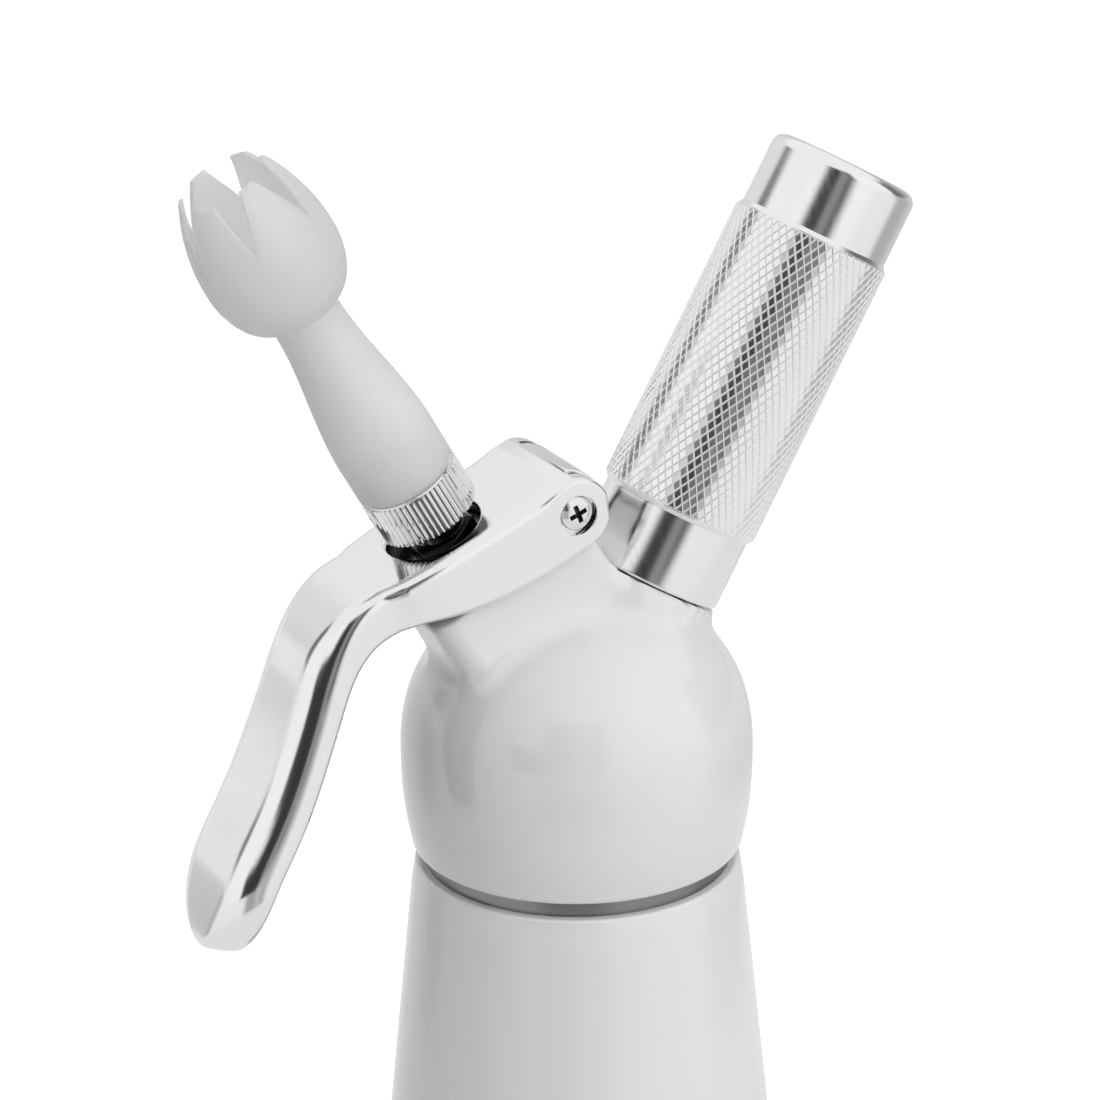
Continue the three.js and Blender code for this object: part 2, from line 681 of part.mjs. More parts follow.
function makeLever() {
  const l = lever;
  const stations = leverStations();
  const body = loft(stations.map((station) => leverRing(station, l.bottomRound)));
  const hollow = channelStations(stations);
  const channel = loft(hollow.map((station) => leverRing(station, l.bottomRound)));
  const inner = l.halfWidth - l.wall;
  const rollInner = l.rollRadius - l.rollThickness;
  const pivotRoom = sidePlate([[l.pivotX + rollInner, l.pivotZ - 2 * l.earRadius],
    ...arcPoints(l.pivotX, l.pivotZ, rollInner, 0, 180, tinySides),
    [l.pivotX - rollInner, l.pivotZ - 2 * l.earRadius]], inner);
  const rearRoom = block([l.pivotX + l.rearEdge, -inner, l.pivotZ - 2 * l.earRadius],
    [l.pivotX + 2 * l.earRadius, inner, l.pivotZ + 2 * l.earRadius]);
  const rearFlat = move(
    block([l.earFlat, -2 * l.halfWidth, -l.handleReach], [l.handleReach, 2 * l.halfWidth, l.handleReach])
      .rotate([0, l.earFlatAngle, 0]), l.pivotX, 0, l.pivotZ);
  const hole = move(rod(l.holeRadius, flangeTop, l.pivotZ + 3 * l.earRadius, midSides), -l.holeShift, 0, 0);
  const crossways = (radius, from, to) =>
    move(rod(radius, -to, -from, smallSides).rotate([90, 0, 0]), l.pivotX, 0, l.pivotZ);
  const recesses = [
    crossways(pivot.screwRadius + fit, -l.halfWidth - overrun, -inner + overrun),
    crossways(pivot.capRadius + fit, -l.halfWidth - overrun, pivot.screwRecess - l.halfWidth),
    crossways(pivot.sleeveRadius + fit, inner - overrun, l.halfWidth + overrun),
    crossways(pivot.sleeveHeadRadius + fit, l.halfWidth - pivot.sleeveHeadThickness - fit,
      l.halfWidth + overrun)];
  const roll = sidePlate([...arcPoints(l.pivotX, l.pivotZ, l.rollRadius, l.rollStart, l.rollEnd, l.rollSteps),
    ...arcPoints(l.pivotX, l.pivotZ, rollInner, l.rollEnd, l.rollStart, l.rollSteps)], l.rollHalfWidth);
  const pads = [-1, 1].map((side) => {
    const ys = [side * (l.holeRadius + weld), side * (inner + weld)].sort((a, b) => a - b);
    return block([-l.padHalfLength, ys[0], padBottom], [l.padHalfLength, ys[1], leverTop(0) - l.plate / 2]);
  });
  const shell = cutAll(body, [channel, pivotRoom, rearRoom, rearFlat, hole, ...recesses]);
  return makeMesh('lever', joinAll([shell, roll, ...pads]), castMetal);
}

// Pivot: a sleeve through the far ear and the lug, and a cross-slotted screw from the near side
function makePivotSleeve() {
  const p = pivot;
  const near = lever.halfWidth - lever.wall - fit;
  const far = lever.halfWidth;
  const depth = near + lever.halfWidth / 2;
  const solid = rod(p.sleeveRadius, -near, far - p.sleeveHeadThickness + weld, smallSides)
    .add(rod(p.sleeveHeadRadius, far - p.sleeveHeadThickness, far - fit / 2, smallSides))
    .subtract(rod(p.screwRadius + fit, -near - overrun, depth - near, smallSides));
  return makeMesh('lever_pivot_sleeve', alongY(solid), steel);
}

function makePivotScrew() {
  const p = pivot;
  const seat = lever.halfWidth - p.screwRecess + fit;
  const face = seat + p.capThickness;
  const dome = p.capThickness / 2;
  const near = lever.halfWidth - lever.wall - fit;
  const headShape = revolve([[0, -face], [p.capRadius - dome, -face], [p.capRadius, dome - face],
    [p.capRadius, -seat], [0, -seat]], smallSides);
  const shank = rod(p.screwRadius, -seat - weld, lever.halfWidth / 2 - fit, tinySides);
  const arms = [[p.crossSpan, p.crossWidth], [p.crossWidth, p.crossSpan]].map(([x, y]) =>
    block([-x / 2, -y / 2, -face - overrun], [x / 2, y / 2, p.crossDepth - face]));
  return makeMesh('lever_pivot_screw', alongY(cutAll(headShape.add(shank), arms)), chrome);
}

// Turns a piece made along Z to lie along Y at the lever's pivot
const alongY = (solid) => move(solid.rotate([-90, 0, 0]), lever.pivotX, 0, lever.pivotZ);

// Ferrule: a ring with straight splines and a spigot that carries the nozzle
const ferruleTop = ferrule.bottom + ferrule.height;
const spigotTop = ferruleTop + ferrule.spigotHeight;

function makeFerrule() {
  const f = ferrule;
  const outline = new THREE.Shape();
  for (let i = 0; i < f.splines; i += 1) {
    const tooth = [[0, f.rootRadius], ...f.toothShares.map((share) => [share, f.radius])];
    for (const [share, radius] of tooth) {
      const angle = (turn * (i + share)) / f.splines;
      const point = [radius * Math.cos(angle), radius * Math.sin(angle)];
      if (i === 0 && share === 0) outline.moveTo(...point);
      else outline.lineTo(...point);
    }
  }
  const splined = toSolid(new THREE.ExtrudeGeometry(outline,
    { depth: f.height - 2 * f.bandHeight, bevelEnabled: false }));
  const core = revolve([[0, f.bottom], [f.rootRadius - f.bandHeight, f.bottom],
    [f.rootRadius, f.bottom + f.bandHeight], [f.rootRadius, ferruleTop], [f.spigotRadius, ferruleTop],
    [f.spigotRadius, spigotTop], [0, spigotTop]], midSides);
  const threadTop = stem.top + fit;
  const bore = joinAll([rod(stem.threadRadius + fit, f.bottom - overrun, threadTop, smallSides),
    rod(nozzle.boreRadius, threadTop - weld, spigotTop + overrun, smallSides)]);
  const teeth = move(splined, 0, 0, f.bottom + f.bandHeight);
  return makeMesh('nozzle_ferrule', core.add(teeth).subtract(bore), chrome);
}

// Nozzle: a tapering stem, a narrow neck and a tulip whose rim is cut into pointed petals
function nozzleProfile() {
  const n = nozzle;
  const seat = ferruleTop + fit;
  const outside = [];
  const stemSteps = 7;
  for (let i = 0; i <= stemSteps; i += 1) {
    const share = i / stemSteps;
    const fall = smooth((share - n.straightShare) / (1 - n.straightShare));
    outside.push([n.seatRadius + (n.neckRadius - n.seatRadius) * fall, seat + (n.taperEnd - seat) * share]);
  }
  outside.push([n.neckRadius, n.neckHeight]);
  const bowlSteps = 4;
  const bowlDepth = n.bulbHeight - n.neckHeight;
  for (let i = 1; i <= bowlSteps; i += 1) {
    const angle = (quarter * i) / bowlSteps;
    const power = 2 / n.bulbPower;
    outside.push([n.neckRadius + (n.bulbRadius - n.neckRadius) * Math.sin(angle) ** power,
      n.bulbHeight - bowlDepth * Math.max(Math.cos(angle), 0) ** power]);
  }
  const lipSteps = 4;
  for (let i = 1; i <= lipSteps; i += 1) {
    const share = i / lipSteps;
    outside.push([n.bulbRadius - (n.bulbRadius - n.tipRadius) * share ** n.petalPower,
      n.bulbHeight + (n.tipHeight - n.bulbHeight) * share]);
  }
  const inside = outside.slice(stemSteps + bendSteps).reverse().map(([r, z]) => [r - n.wall, z]);
  const floor = n.neckHeight + 2 * n.wall;
  inside.push([n.boreRadius, floor], [n.boreRadius, spigotTop + fit],
    [ferrule.spigotRadius + fit, spigotTop + fit], [ferrule.spigotRadius + fit, seat]);
  return [[ferrule.spigotRadius + fit, seat], ...outside, ...inside];
}

function makeNozzle() {
  const n = nozzle;
  const body = revolve(nozzleProfile(), midSides);
  const reach = n.tipHeight + overrun;
  const spread = (n.notchWidth / 2) * ((n.notchDepth + overrun) / n.notchDepth);
  const notch = [[0, n.tipHeight - n.notchDepth], [spread, reach], [-spread, reach]];
  const wedge = sidePlate(notch, n.bulbRadius).translate([0, -n.bulbRadius, 0]);
  const notches = Array.from({ length: n.petals }, (_, i) =>
    wedge.rotate([0, 0, (fullTurn * (i + n.petalTurnShare)) / n.petals]));
  return makeMesh('nozzle', cutAll(body, notches), milkyPlastic);
}

// Heights that the charger's pieces share
const portTop = holder.bottom + port.height;
const socketFloor = portTop - port.socketDepth;
const sealFace = socketFloor + fit + chargerSeal.thickness;
const chargerBottom = sealFace + fit;
const chargerTop = chargerBottom + charger.length;
const chamberRadius = charger.radius + 2 * fit + liner.wall;

function makeHolder() {
  const h = holder;
  const at = (height) => h.bottom + height;
  const step = h.knurlRadius - h.endRadius;
  const corner = arcPoints(h.endRadius - h.topRound, at(h.height) - h.topRound,
    h.topRound, 0, 90, cornerSteps);
  const profile = [[h.threadRadius, h.bottom], [h.endRadius - h.edge, h.bottom], [h.endRadius, at(h.edge)],
    [h.endRadius, at(h.knurlStart) - step], [h.knurlRadius, at(h.knurlStart)],
    [h.knurlRadius, at(h.knurlEnd)], [h.endRadius, at(h.knurlEnd) + step], ...corner,
    [0, at(h.height)], [0, chargerTop + fit], [chamberRadius, chargerTop + fit],
    [chamberRadius, at(h.threadHeight)], [h.threadRadius, at(h.threadHeight)], [h.threadRadius, h.bottom]];
  return makeMesh('charger_holder', revolve(profile, fineSides), turnedAluminium);
}

function makeLiner() {
  const bottom = holder.bottom + liner.start;
  const solid = tube(chamberRadius - fit, charger.radius + fit, bottom, chargerTop, midSides);
  return makeMesh('holder_liner', solid, greyPlastic);
}

function makePort() {
  const p = port;
  const profile = [[p.gasRadius, p.plugBottom], [p.plugRadius - stem.edge, p.plugBottom],
    [p.plugRadius, p.plugBottom + stem.edge], [p.plugRadius, holder.bottom], [p.radius, holder.bottom],
    [p.radius, portTop - stem.edge], [p.radius - stem.edge, portTop], [p.socketRadius, portTop],
    [p.socketRadius, socketFloor], [p.pinSeatRadius, socketFloor], [p.pinSeatRadius, p.pinSeat],
    [p.gasRadius, p.pinSeat], [p.gasRadius, p.plugBottom]];
  return makeMesh('charger_port', revolve(profile, smallSides), brass);
}

function makePin() {
  const tip = chargerBottom + pin.reach;
  const baseTop = socketFloor - fit;
  const profile = [[pin.gasRadius, port.pinSeat + fit], [pin.baseRadius, port.pinSeat + fit],
    [pin.baseRadius, baseTop], [pin.needleRadius, baseTop], [pin.needleRadius, tip - pin.reach / 2],
    [pin.tipRadius, tip], [pin.gasRadius, tip], [pin.gasRadius, port.pinSeat + fit]];
  return makeMesh('piercing_pin', revolve(profile, tinySides), steel);
}

function makeChargerSeal() {
  const solid = tube(port.socketRadius - fit, chargerSeal.boreRadius, socketFloor + fit, sealFace, smallSides);
  return makeMesh('charger_seal', solid, rubber);
}

// Gas charger: a thin steel bulb with a pierced neck, neck down
function makeCharger() {
  const c = charger;
  const steps = cornerSteps;
  const curve = (shrink) => Array.from({ length: steps + 1 }, (_, i) => {
    const share = i / steps;
    return [c.neckRadius + (c.radius - c.neckRadius) * smooth(share) - shrink,
      chargerBottom + c.neckLength + c.shoulderLength * share];
  });
  const cap = (shrink) => Array.from({ length: steps + 1 }, (_, i) => {
    const angle = (quarter * i) / steps;
    const radius = c.radius - shrink;
    return [radius * Math.max(Math.cos(angle), 0), chargerTop - c.radius + radius * Math.sin(angle)];
  });
  const outerCap = cap(0);
  const innerCap = cap(c.wall).reverse();
  outerCap[steps][0] = 0;
  innerCap[0][0] = 0;
  const neckFloor = chargerBottom + c.wall + pin.reach;
  const profile = [[c.piercedRadius, chargerBottom], [c.neckRadius, chargerBottom], ...curve(0),
    ...outerCap, ...innerCap, ...curve(c.wall).reverse(),
    [c.neckRadius - c.wall, neckFloor], [c.piercedRadius, neckFloor], [c.piercedRadius, chargerBottom]];
  return makeMesh('gas_charger', revolve(profile, smallSides), steel);
}

function makeInletDisc() {
  const top = inlet.seat - fit;
  const solid = tube(inlet.discRadius, inlet.screwRadius + fit, top - inlet.discThickness, top, smallSides);
  return makeMesh('inlet_valve_disc', solid, rubber);
}

function makeInletScrew() {
  const headTop = inlet.seat - 2 * fit - inlet.discThickness;
  const solid = rod(inlet.capRadius, headTop - inlet.capThickness, headTop, smallSides)
    .add(rod(inlet.screwRadius, headTop - weld, inlet.seat + inlet.screwLength, tinySides));
  return makeMesh('inlet_valve_screw', solid, steel);
}

// The assembly: the head's parts stand on the flask, and two groups lean with the valve and the holder
const part = new THREE.Group();
part.add(makeFlask(), makeGasket());

const headGroup = new THREE.Group();
headGroup.position.z = seamHeight;
headGroup.add(makeHead());
part.add(headGroup);

const valveGroup = new THREE.Group();
valveGroup.applyMatrix4(valveFrame);
valveGroup.add(makeStem(), makeSeal(), makeSealScrew(), makeStemRing(), makeGuide(), makeSpring(),
  makeLever(), makePivotSleeve(), makePivotScrew(), makeFerrule(), makeNozzle());
headGroup.add(valveGroup);

const holderGroup = new THREE.Group();
holderGroup.applyMatrix4(holderFrame);
holderGroup.add(makePort(), makePin(), makeChargerSeal(), makeCharger(), makeHolder(), makeLiner(),
  makeInletDisc(), makeInletScrew());
headGroup.add(holderGroup);

export default part;
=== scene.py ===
import math

import bmesh
import bpy
import numpy as np
from mathutils import Matrix, Vector


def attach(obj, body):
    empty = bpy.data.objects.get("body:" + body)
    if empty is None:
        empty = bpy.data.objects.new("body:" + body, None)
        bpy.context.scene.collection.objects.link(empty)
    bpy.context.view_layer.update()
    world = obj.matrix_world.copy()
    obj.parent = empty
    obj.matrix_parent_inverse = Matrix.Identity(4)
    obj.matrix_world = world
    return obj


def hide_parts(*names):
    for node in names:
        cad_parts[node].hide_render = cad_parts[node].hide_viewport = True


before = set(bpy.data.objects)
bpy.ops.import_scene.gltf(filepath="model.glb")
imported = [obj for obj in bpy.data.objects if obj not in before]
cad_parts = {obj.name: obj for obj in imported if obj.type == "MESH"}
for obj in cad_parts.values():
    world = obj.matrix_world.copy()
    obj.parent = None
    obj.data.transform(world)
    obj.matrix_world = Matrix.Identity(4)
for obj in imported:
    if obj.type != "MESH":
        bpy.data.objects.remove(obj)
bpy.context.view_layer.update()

# Frames of the flask, the head and the two leaning axes, and the lever's pivot in the valve's frame
MILLIMETRE = 0.001
SEAM = 168.4
AXES_X, AXES_Z = -1.8, 19.4
VALVE_LEAN, HOLDER_LEAN = 29.5, 30
LEVER_PIVOT = (18.5, 40.5)
FLASK = Matrix.Scale(MILLIMETRE, 4)
HEAD = FLASK @ Matrix.Translation((0, 0, SEAM))


def leaning(angle):
    return HEAD @ Matrix.Translation((AXES_X, 0, AXES_Z)) @ Matrix.Rotation(math.radians(angle), 4, "Y")


VALVE = leaning(-VALVE_LEAN)
HOLDER = leaning(HOLDER_LEAN)


# Shader values that take part in plain arithmetic
class Value:
    def __init__(self, look, socket):
        self.look = look
        self.socket = socket

    def maths(self, operation, *others):
        return self.look.node("Math", {"operation": operation}, *[self, *others])

    def __add__(self, other):
        return self.maths("ADD", other)

    __radd__ = __add__

    def __mul__(self, other):
        return self.maths("MULTIPLY", other)

    __rmul__ = __mul__

    def __sub__(self, other):
        return self.maths("SUBTRACT", other)

    def __rsub__(self, other):
        return self.look.node("Math", {"operation": "SUBTRACT"}, other, self)

    def __truediv__(self, other):
        return self.maths("DIVIDE", other)


# A look: one material, its main shader, and a method that adds any other node
class Look:
    def __init__(self, name, colour, roughness, metallic=0.0, tree=None, **steady):
        self.material = None
        if tree is None:
            self.material = bpy.data.materials.new(name)
            self.material.use_nodes = True
            tree = self.material.node_tree
            self.shader = tree.nodes["Principled BSDF"]
            self.set(Base_Color=colour, Roughness=roughness, Metallic=metallic, **steady)
        self.tree = tree

    def link(self, value, socket):
        if isinstance(value, Value):
            self.tree.links.new(value.socket, socket)
        elif isinstance(value, tuple) and len(socket.default_value) == 4:
            socket.default_value = (*value, 1.0)
        else:
            socket.default_value = value

    def set(self, **sockets):
        for name, value in sockets.items():
            self.link(value, self.shader.inputs[name.replace("_", " ")])

    def node(self, kind, settings=None, *values, out=0, **named):
        made = self.tree.nodes.new("ShaderNode" + kind)
        for name, value in (settings or {}).items():
            if name == "stops":
                ramp = made.color_ramp
                while len(ramp.elements) < len(value):
                    ramp.elements.new(0.5)
                for element, (place, shade) in zip(ramp.elements, value):
                    element.position = place
                    element.color = (shade, shade, shade, 1)
            else:
                setattr(made, name, value)
        for i, value in enumerate(values):
            self.link(value, made.inputs[i])
        for name, value in named.items():
            self.link(value, made.inputs[name.replace("_", " ")])
        return Value(self, made.outputs[out])

    def between(self, share, low, high):
        colour = self.node("Mix", {"data_type": "RGBA"}, share, out=2)
        self.link(low, colour.socket.node.inputs[6])
        self.link(high, colour.socket.node.inputs[7])
        return colour

    def step(self, value, first, last, low=0.0, high=1.0):
        return self.node("MapRange", {"interpolation_type": "SMOOTHSTEP"}, value, first, last, low, high)

    def output(self, node, name):
        return Value(self, node.socket.node.outputs[name])

    def place(self):
        return self.node("TexCoord", out=3)

    def noise(self, scale, detail=2.0, stretch=None):
        vector = self.place()
        if stretch:
            vector = self.node("Mapping", None, vector, Scale=stretch)
        return self.node("TexNoise", None, Vector=vector, Scale=scale, Detail=detail)

    def bump(self, height, strength, distance):
        self.set(Normal=self.node("Bump", None, Height=height, Strength=strength, Distance=distance))


def paint(piece, *looks):
    if piece.data.materials:
        piece.data.materials.clear()
    for look in looks:
        piece.data.materials.append(look.material)


# Looks. Noise scales are per metre, bump distances in metres.
def lacquer():
    look = Look("white_lacquer", (0.85, 0.85, 0.85), 0.14, 0.0, Coat_Weight=0.6, Coat_Roughness=0.03)
    tint = look.noise(35, 3.0)
    look.set(Base_Color=look.between(tint, (0.835, 0.835, 0.838), (0.862, 0.862, 0.86)))
    look.set(Roughness=look.noise(180, 2.0) * 0.08 + 0.12)
    look.bump(look.noise(420, 1.5) * 0.7 + look.noise(60, 1.0), 0.05, 0.0005)
    return look


def metal(name, colour, low, high, scale, stretch=None, depth=0.0, strength=0.1, spread=0.04):
    look = Look(name, colour, low, 1.0)
    patch = look.noise(scale * 0.25, 3.0)
    dimmed = tuple(shade * (1 - spread) for shade in colour)
    look.set(Base_Color=look.between(patch, dimmed, colour))
    grain = look.noise(scale, 3.0, stretch)
    look.set(Roughness=grain * (high - low) + low)
    if depth:
        look.bump(grain, strength, depth)
    return look


def rubber(name, colour, roughness):
    look = Look(name, colour, roughness)
    speckle = look.noise(900, 3.0)
    look.set(Base_Color=look.between(speckle, colour, tuple(shade * 1.35 for shade in colour)))
    look.set(Roughness=look.noise(300, 2.0) * 0.2 + roughness - 0.1)
    look.bump(speckle, 0.15, 0.0002)
    return look


def moulded(name, colour, roughness, **steady):
    look = Look(name, colour, roughness, **steady)
    cloud = look.noise(45, 2.0)
    look.set(Base_Color=look.between(cloud, tuple(shade * 0.97 for shade in colour), colour))
    look.set(Roughness=look.noise(250, 2.0) * 0.12 + roughness - 0.06)
    look.bump(look.noise(1400, 2.0), 0.08, 0.0001)
    return look


white_lacquer = lacquer()
polished_casting = metal("polished_casting", (0.87, 0.868, 0.865), 0.08, 0.15, 90, depth=0.0006,
                         strength=0.05)
# Rough casting, darkened to a deep grey as painted shade for the insides of the lever and the head
rough_casting_painted_shade = metal("rough_casting_painted_shade", (0.30, 0.30, 0.30), 0.45, 0.65, 600, depth=0.0004, strength=0.4,
                      spread=0.2)
turned_metal = metal("turned_aluminium", (0.88, 0.88, 0.885), 0.10, 0.22, 40, (60, 1, 1), spread=0.02)
# Bare aluminium darkened to a deep grey as painted shade, for the collar in the gap under the head and the
# flask's inside
bare_aluminium_painted_shade = metal("bare_aluminium_painted_shade", (0.26, 0.26, 0.265), 0.24, 0.36, 300, (1, 1, 12), depth=0.0001)
bright_chrome = metal("bright_chrome", (0.82, 0.82, 0.83), 0.04, 0.10, 120, spread=0.03)
# Chrome darkened as painted shade, for the stem in the dark hole under the ferrule and the ferrule's grooves
# and underside
chrome_painted_shade = metal("chrome_painted_shade", (0.13, 0.13, 0.135), 0.12, 0.24, 200, spread=0.2)
# Near-black metal as painted shade in the screw's cross recess
recess_painted_shade = metal("recess_painted_shade", (0.10, 0.10, 0.10), 0.4, 0.6, 400)
plain_brass = metal("plain_brass", (0.62, 0.48, 0.24), 0.22, 0.38, 300, (1, 1, 10), depth=0.0001)
plain_steel = metal("plain_steel", (0.56, 0.56, 0.57), 0.2, 0.36, 300, (1, 1, 10), depth=0.0001)
black_rubber = rubber("black_rubber", (0.028, 0.028, 0.03), 0.6)
pale_silicone = rubber("pale_silicone", (0.56, 0.56, 0.55), 0.45)
# The nozzle's milky plastic also glows faintly: a small white emission as painted light, for light that
# soaks through it
milky_plastic_painted_glow = moulded("milky_plastic_painted_glow", (0.96, 0.96, 0.955), 0.5, Subsurface_Weight=0.8,
                        Subsurface_Radius=(1.0, 1.0, 1.0), Subsurface_Scale=0.006, Transmission_Weight=0.35,
                        Emission_Color=(1.0, 1.0, 1.0), Emission_Strength=0.03)
grey_plastic = moulded("grey_plastic", (0.32, 0.33, 0.34), 0.45)

finishes = {
    white_lacquer: ["bottle", "head"],
    pale_silicone: ["head_gasket"],
    polished_casting: ["lever"],
    bright_chrome: ["lever_pivot_screw", "valve_stem", "nozzle_ferrule"],
    plain_steel: ["lever_pivot_sleeve", "valve_seal_screw", "valve_spring", "piercing_pin", "gas_charger",
                  "inlet_valve_screw"],
    black_rubber: ["valve_seal", "stem_o_ring", "charger_seal", "inlet_valve_disc"],
    plain_brass: ["valve_guide", "charger_port"],
    turned_metal: ["charger_holder"],
    milky_plastic_painted_glow: ["nozzle"],
    grey_plastic: ["holder_liner"],
}
for look, names in finishes.items():
    for name in names:
        paint(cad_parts[name], look)


# Outlines and meshes, in millimetres. A point is (radius or x, height), with its rounding as a third value.
def rounded(points, steps=5):
    line = []
    for i, point in enumerate(points):
        here = Vector(point[:2])
        if len(point) < 3:
            line.append((here.x, here.y))
            continue
        before = (Vector(points[i - 1][:2]) - here).normalized()
        after = (Vector(points[(i + 1) % len(points)][:2]) - here).normalized()
        half = before.angle(after) / 2
        centre = here + (before + after).normalized() * (point[2] / math.sin(half))
        start = here + before * (point[2] / math.tan(half)) - centre
        end = here + after * (point[2] / math.tan(half)) - centre
        first = math.atan2(start.y, start.x)
        sweep = (math.atan2(end.y, end.x) - first + math.pi) % (2 * math.pi) - math.pi
        for k in range(steps + 1):
            angle = first + sweep * k / steps
            line.append((centre.x + point[2] * math.cos(angle), centre.y + point[2] * math.sin(angle)))
    return line


def spin(mesh, outline, sides, closed=False, finish=0, turns=1.0, pitch=0.0):
    known = set(mesh.faces)
    points = [mesh.verts.new((r, 0, z)) for r, z in outline]
    pairs = list(zip(points, points[1:] + points[:1] if closed else points[1:]))
    edges = [mesh.edges.new(pair) for pair in pairs]
    bmesh.ops.spin(mesh, geom=points + edges, cent=(0, 0, 0), axis=(0, 0, 1), angle=2 * math.pi * turns,
                   dvec=(0, 0, pitch / sides), steps=int(sides * turns), use_merge=pitch == 0,
                   use_duplicate=False)
    for face in mesh.faces:
        if face not in known:
            face.material_index = finish


def tidy(mesh, capped=0):
    bmesh.ops.remove_doubles(mesh, verts=mesh.verts[:], dist=0.002)
    if capped:
        bmesh.ops.holes_fill(mesh, edges=[edge for edge in mesh.edges if edge.is_boundary], sides=capped)
    bmesh.ops.recalc_face_normals(mesh, faces=mesh.faces[:])
    return mesh


def spun(outline, sides=96):
    mesh = bmesh.new()
    spin(mesh, outline, sides, closed=outline[0][0] > 0)
    return tidy(mesh)


# A raised thread: its section is swept up round the axis
def thread(mesh, root, crest, start, pitch, turns, finish=0):
    height = 0.36 * pitch
    section = [(root, -height), (crest, -height / 3), (crest, height / 3), (root, height)]
    spin(mesh, [(r, start + z) for r, z in section], 64, True, finish, turns, pitch)


# A grid whose corners are laid on an array of points, rows by columns
def skin(mesh, points, finish=0):
    rows, columns = points.shape[:2]
    made = bmesh.ops.create_grid(mesh, x_segments=columns - 1, y_segments=rows - 1, size=1.0)["verts"]
    for vert in made:
        column = round((vert.co.x + 1) / 2 * (columns - 1))
        row = round((vert.co.y + 1) / 2 * (rows - 1))
        vert.co = points[row, column]
    for face in {face for vert in made for face in vert.link_faces}:
        face.material_index = finish


# A plate cut from a side view in XZ, spread evenly about y = 0, its rims rounded
def side_plate(outline, half_width, bevel=0.0, finish=0):
    mesh = bmesh.new()
    side = mesh.faces.new([mesh.verts.new((x, -half_width, z)) for x, z in outline])
    grown = bmesh.ops.extrude_face_region(mesh, geom=[side])["geom"]
    moved = [item for item in grown if isinstance(item, bmesh.types.BMVert)]
    bmesh.ops.translate(mesh, verts=moved, vec=(0, 2 * half_width, 0))
    bmesh.ops.recalc_face_normals(mesh, faces=mesh.faces[:])
    if bevel:
        rims = [edge for edge in mesh.edges if abs(edge.verts[0].co.y - edge.verts[1].co.y) < 0.001]
        bmesh.ops.bevel(mesh, geom=rims, offset=bevel, affect="EDGES", segments=3, profile=0.5, material=-1)
    for face in mesh.faces:
        face.material_index = finish
    return mesh


def arc(x, z, radius, first, last, steps):
    angles = np.radians(np.linspace(first, last, steps + 1))
    return [(x + radius * math.cos(a), z + radius * math.sin(a)) for a in angles]


# A spun outline laid along Y, for pins, screws and eyes through the lever
def crossways(outline, x, z, sides=48):
    mesh = spun(outline, sides)
    bmesh.ops.rotate(mesh, verts=mesh.verts[:], cent=(0, 0, 0), matrix=Matrix.Rotation(-math.pi / 2, 3, "X"))
    bmesh.ops.translate(mesh, verts=mesh.verts[:], vec=(x, 0, z))
    return mesh


def as_object(name, mesh):
    data = bpy.data.meshes.new(name)
    mesh.to_mesh(data)
    mesh.free()
    made = bpy.data.objects.new(name, data)
    bpy.context.scene.collection.objects.link(made)
    return made


# Tools are taken away from the first mesh, or added to it. The marks keep outside and inside faces apart.
marks = [bpy.data.materials.new(name) for name in ("outside", "inside")]


def carved(mesh, tools, operation="DIFFERENCE"):
    host = as_object("host", mesh)
    helpers = [as_object("tool", tool) for tool in tools]
    for item in [host, *helpers]:
        item.data.materials.append(marks[0])
        item.data.materials.append(marks[1])
    for helper in helpers:
        cut = host.modifiers.new("cut", "BOOLEAN")
        cut.operation = operation
        cut.solver = "EXACT"
        cut.object = helper
    bpy.context.view_layer.update()
    shown = host.evaluated_get(bpy.context.evaluated_depsgraph_get())
    result = bmesh.new()
    result.from_mesh(shown.to_mesh())
    shown.to_mesh_clear()
    for item in [host, *helpers]:
        data = item.data
        bpy.data.objects.remove(item)
        bpy.data.meshes.remove(data)
    return result


def joined(mesh, others):
    for other in others:
        data = bpy.data.meshes.new("joined")
        other.to_mesh(data)
        other.free()
        mesh.from_mesh(data)
        bpy.data.meshes.remove(data)
    return mesh


def set_piece(node, mesh, place, looks, body, sharp=32.0):
    mesh.transform(place)
    made = as_object(node + "_surface", mesh)
    made.data.shade_smooth()
    made.data.set_sharp_from_angle(angle=math.radians(sharp))
    paint(made, *looks)
    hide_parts(node)
    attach(made, body)


# Flask: recessed base, rounded foot, straight body, cone, shoulder edge, collar and a threaded neck
FLASK_BODY, FLASK_SHOULDER, FLASK_WALL = 37.7, 28.35, 1.6
BODY_TOP, CONE_START, SHOULDER = 52.0, 98.0, 165.5
BEND = (BODY_TOP + CONE_START) / 2
CONE_RADIUS = FLASK_SHOULDER + (FLASK_BODY - FLASK_SHOULDER) * (SHOULDER - CONE_START) / (SHOULDER - BEND)
MOUTH, NECK, NECK_ROOT, RIM = 20.6, 23.6, 22.9, 180.6
COLLAR, COLLAR_TOP = 26.5, 168.1
BASE_HEIGHT, BASE_RADIUS, STAND_RADIUS, FLOOR_TOP = 1.4, 25.0, 28.2, 2.4
THREAD_START, THREAD_PITCH = 171.2, 3.0
ROUND_SIDES = 192


def flask_side(inset, steps):
    shares = [i / steps for i in range(steps + 1)]
    return [((1 - t * t) * FLASK_BODY + t * t * CONE_RADIUS - inset,
             (1 - t) ** 2 * BODY_TOP + 2 * t * (1 - t) * BEND + t * t * CONE_START) for t in shares]


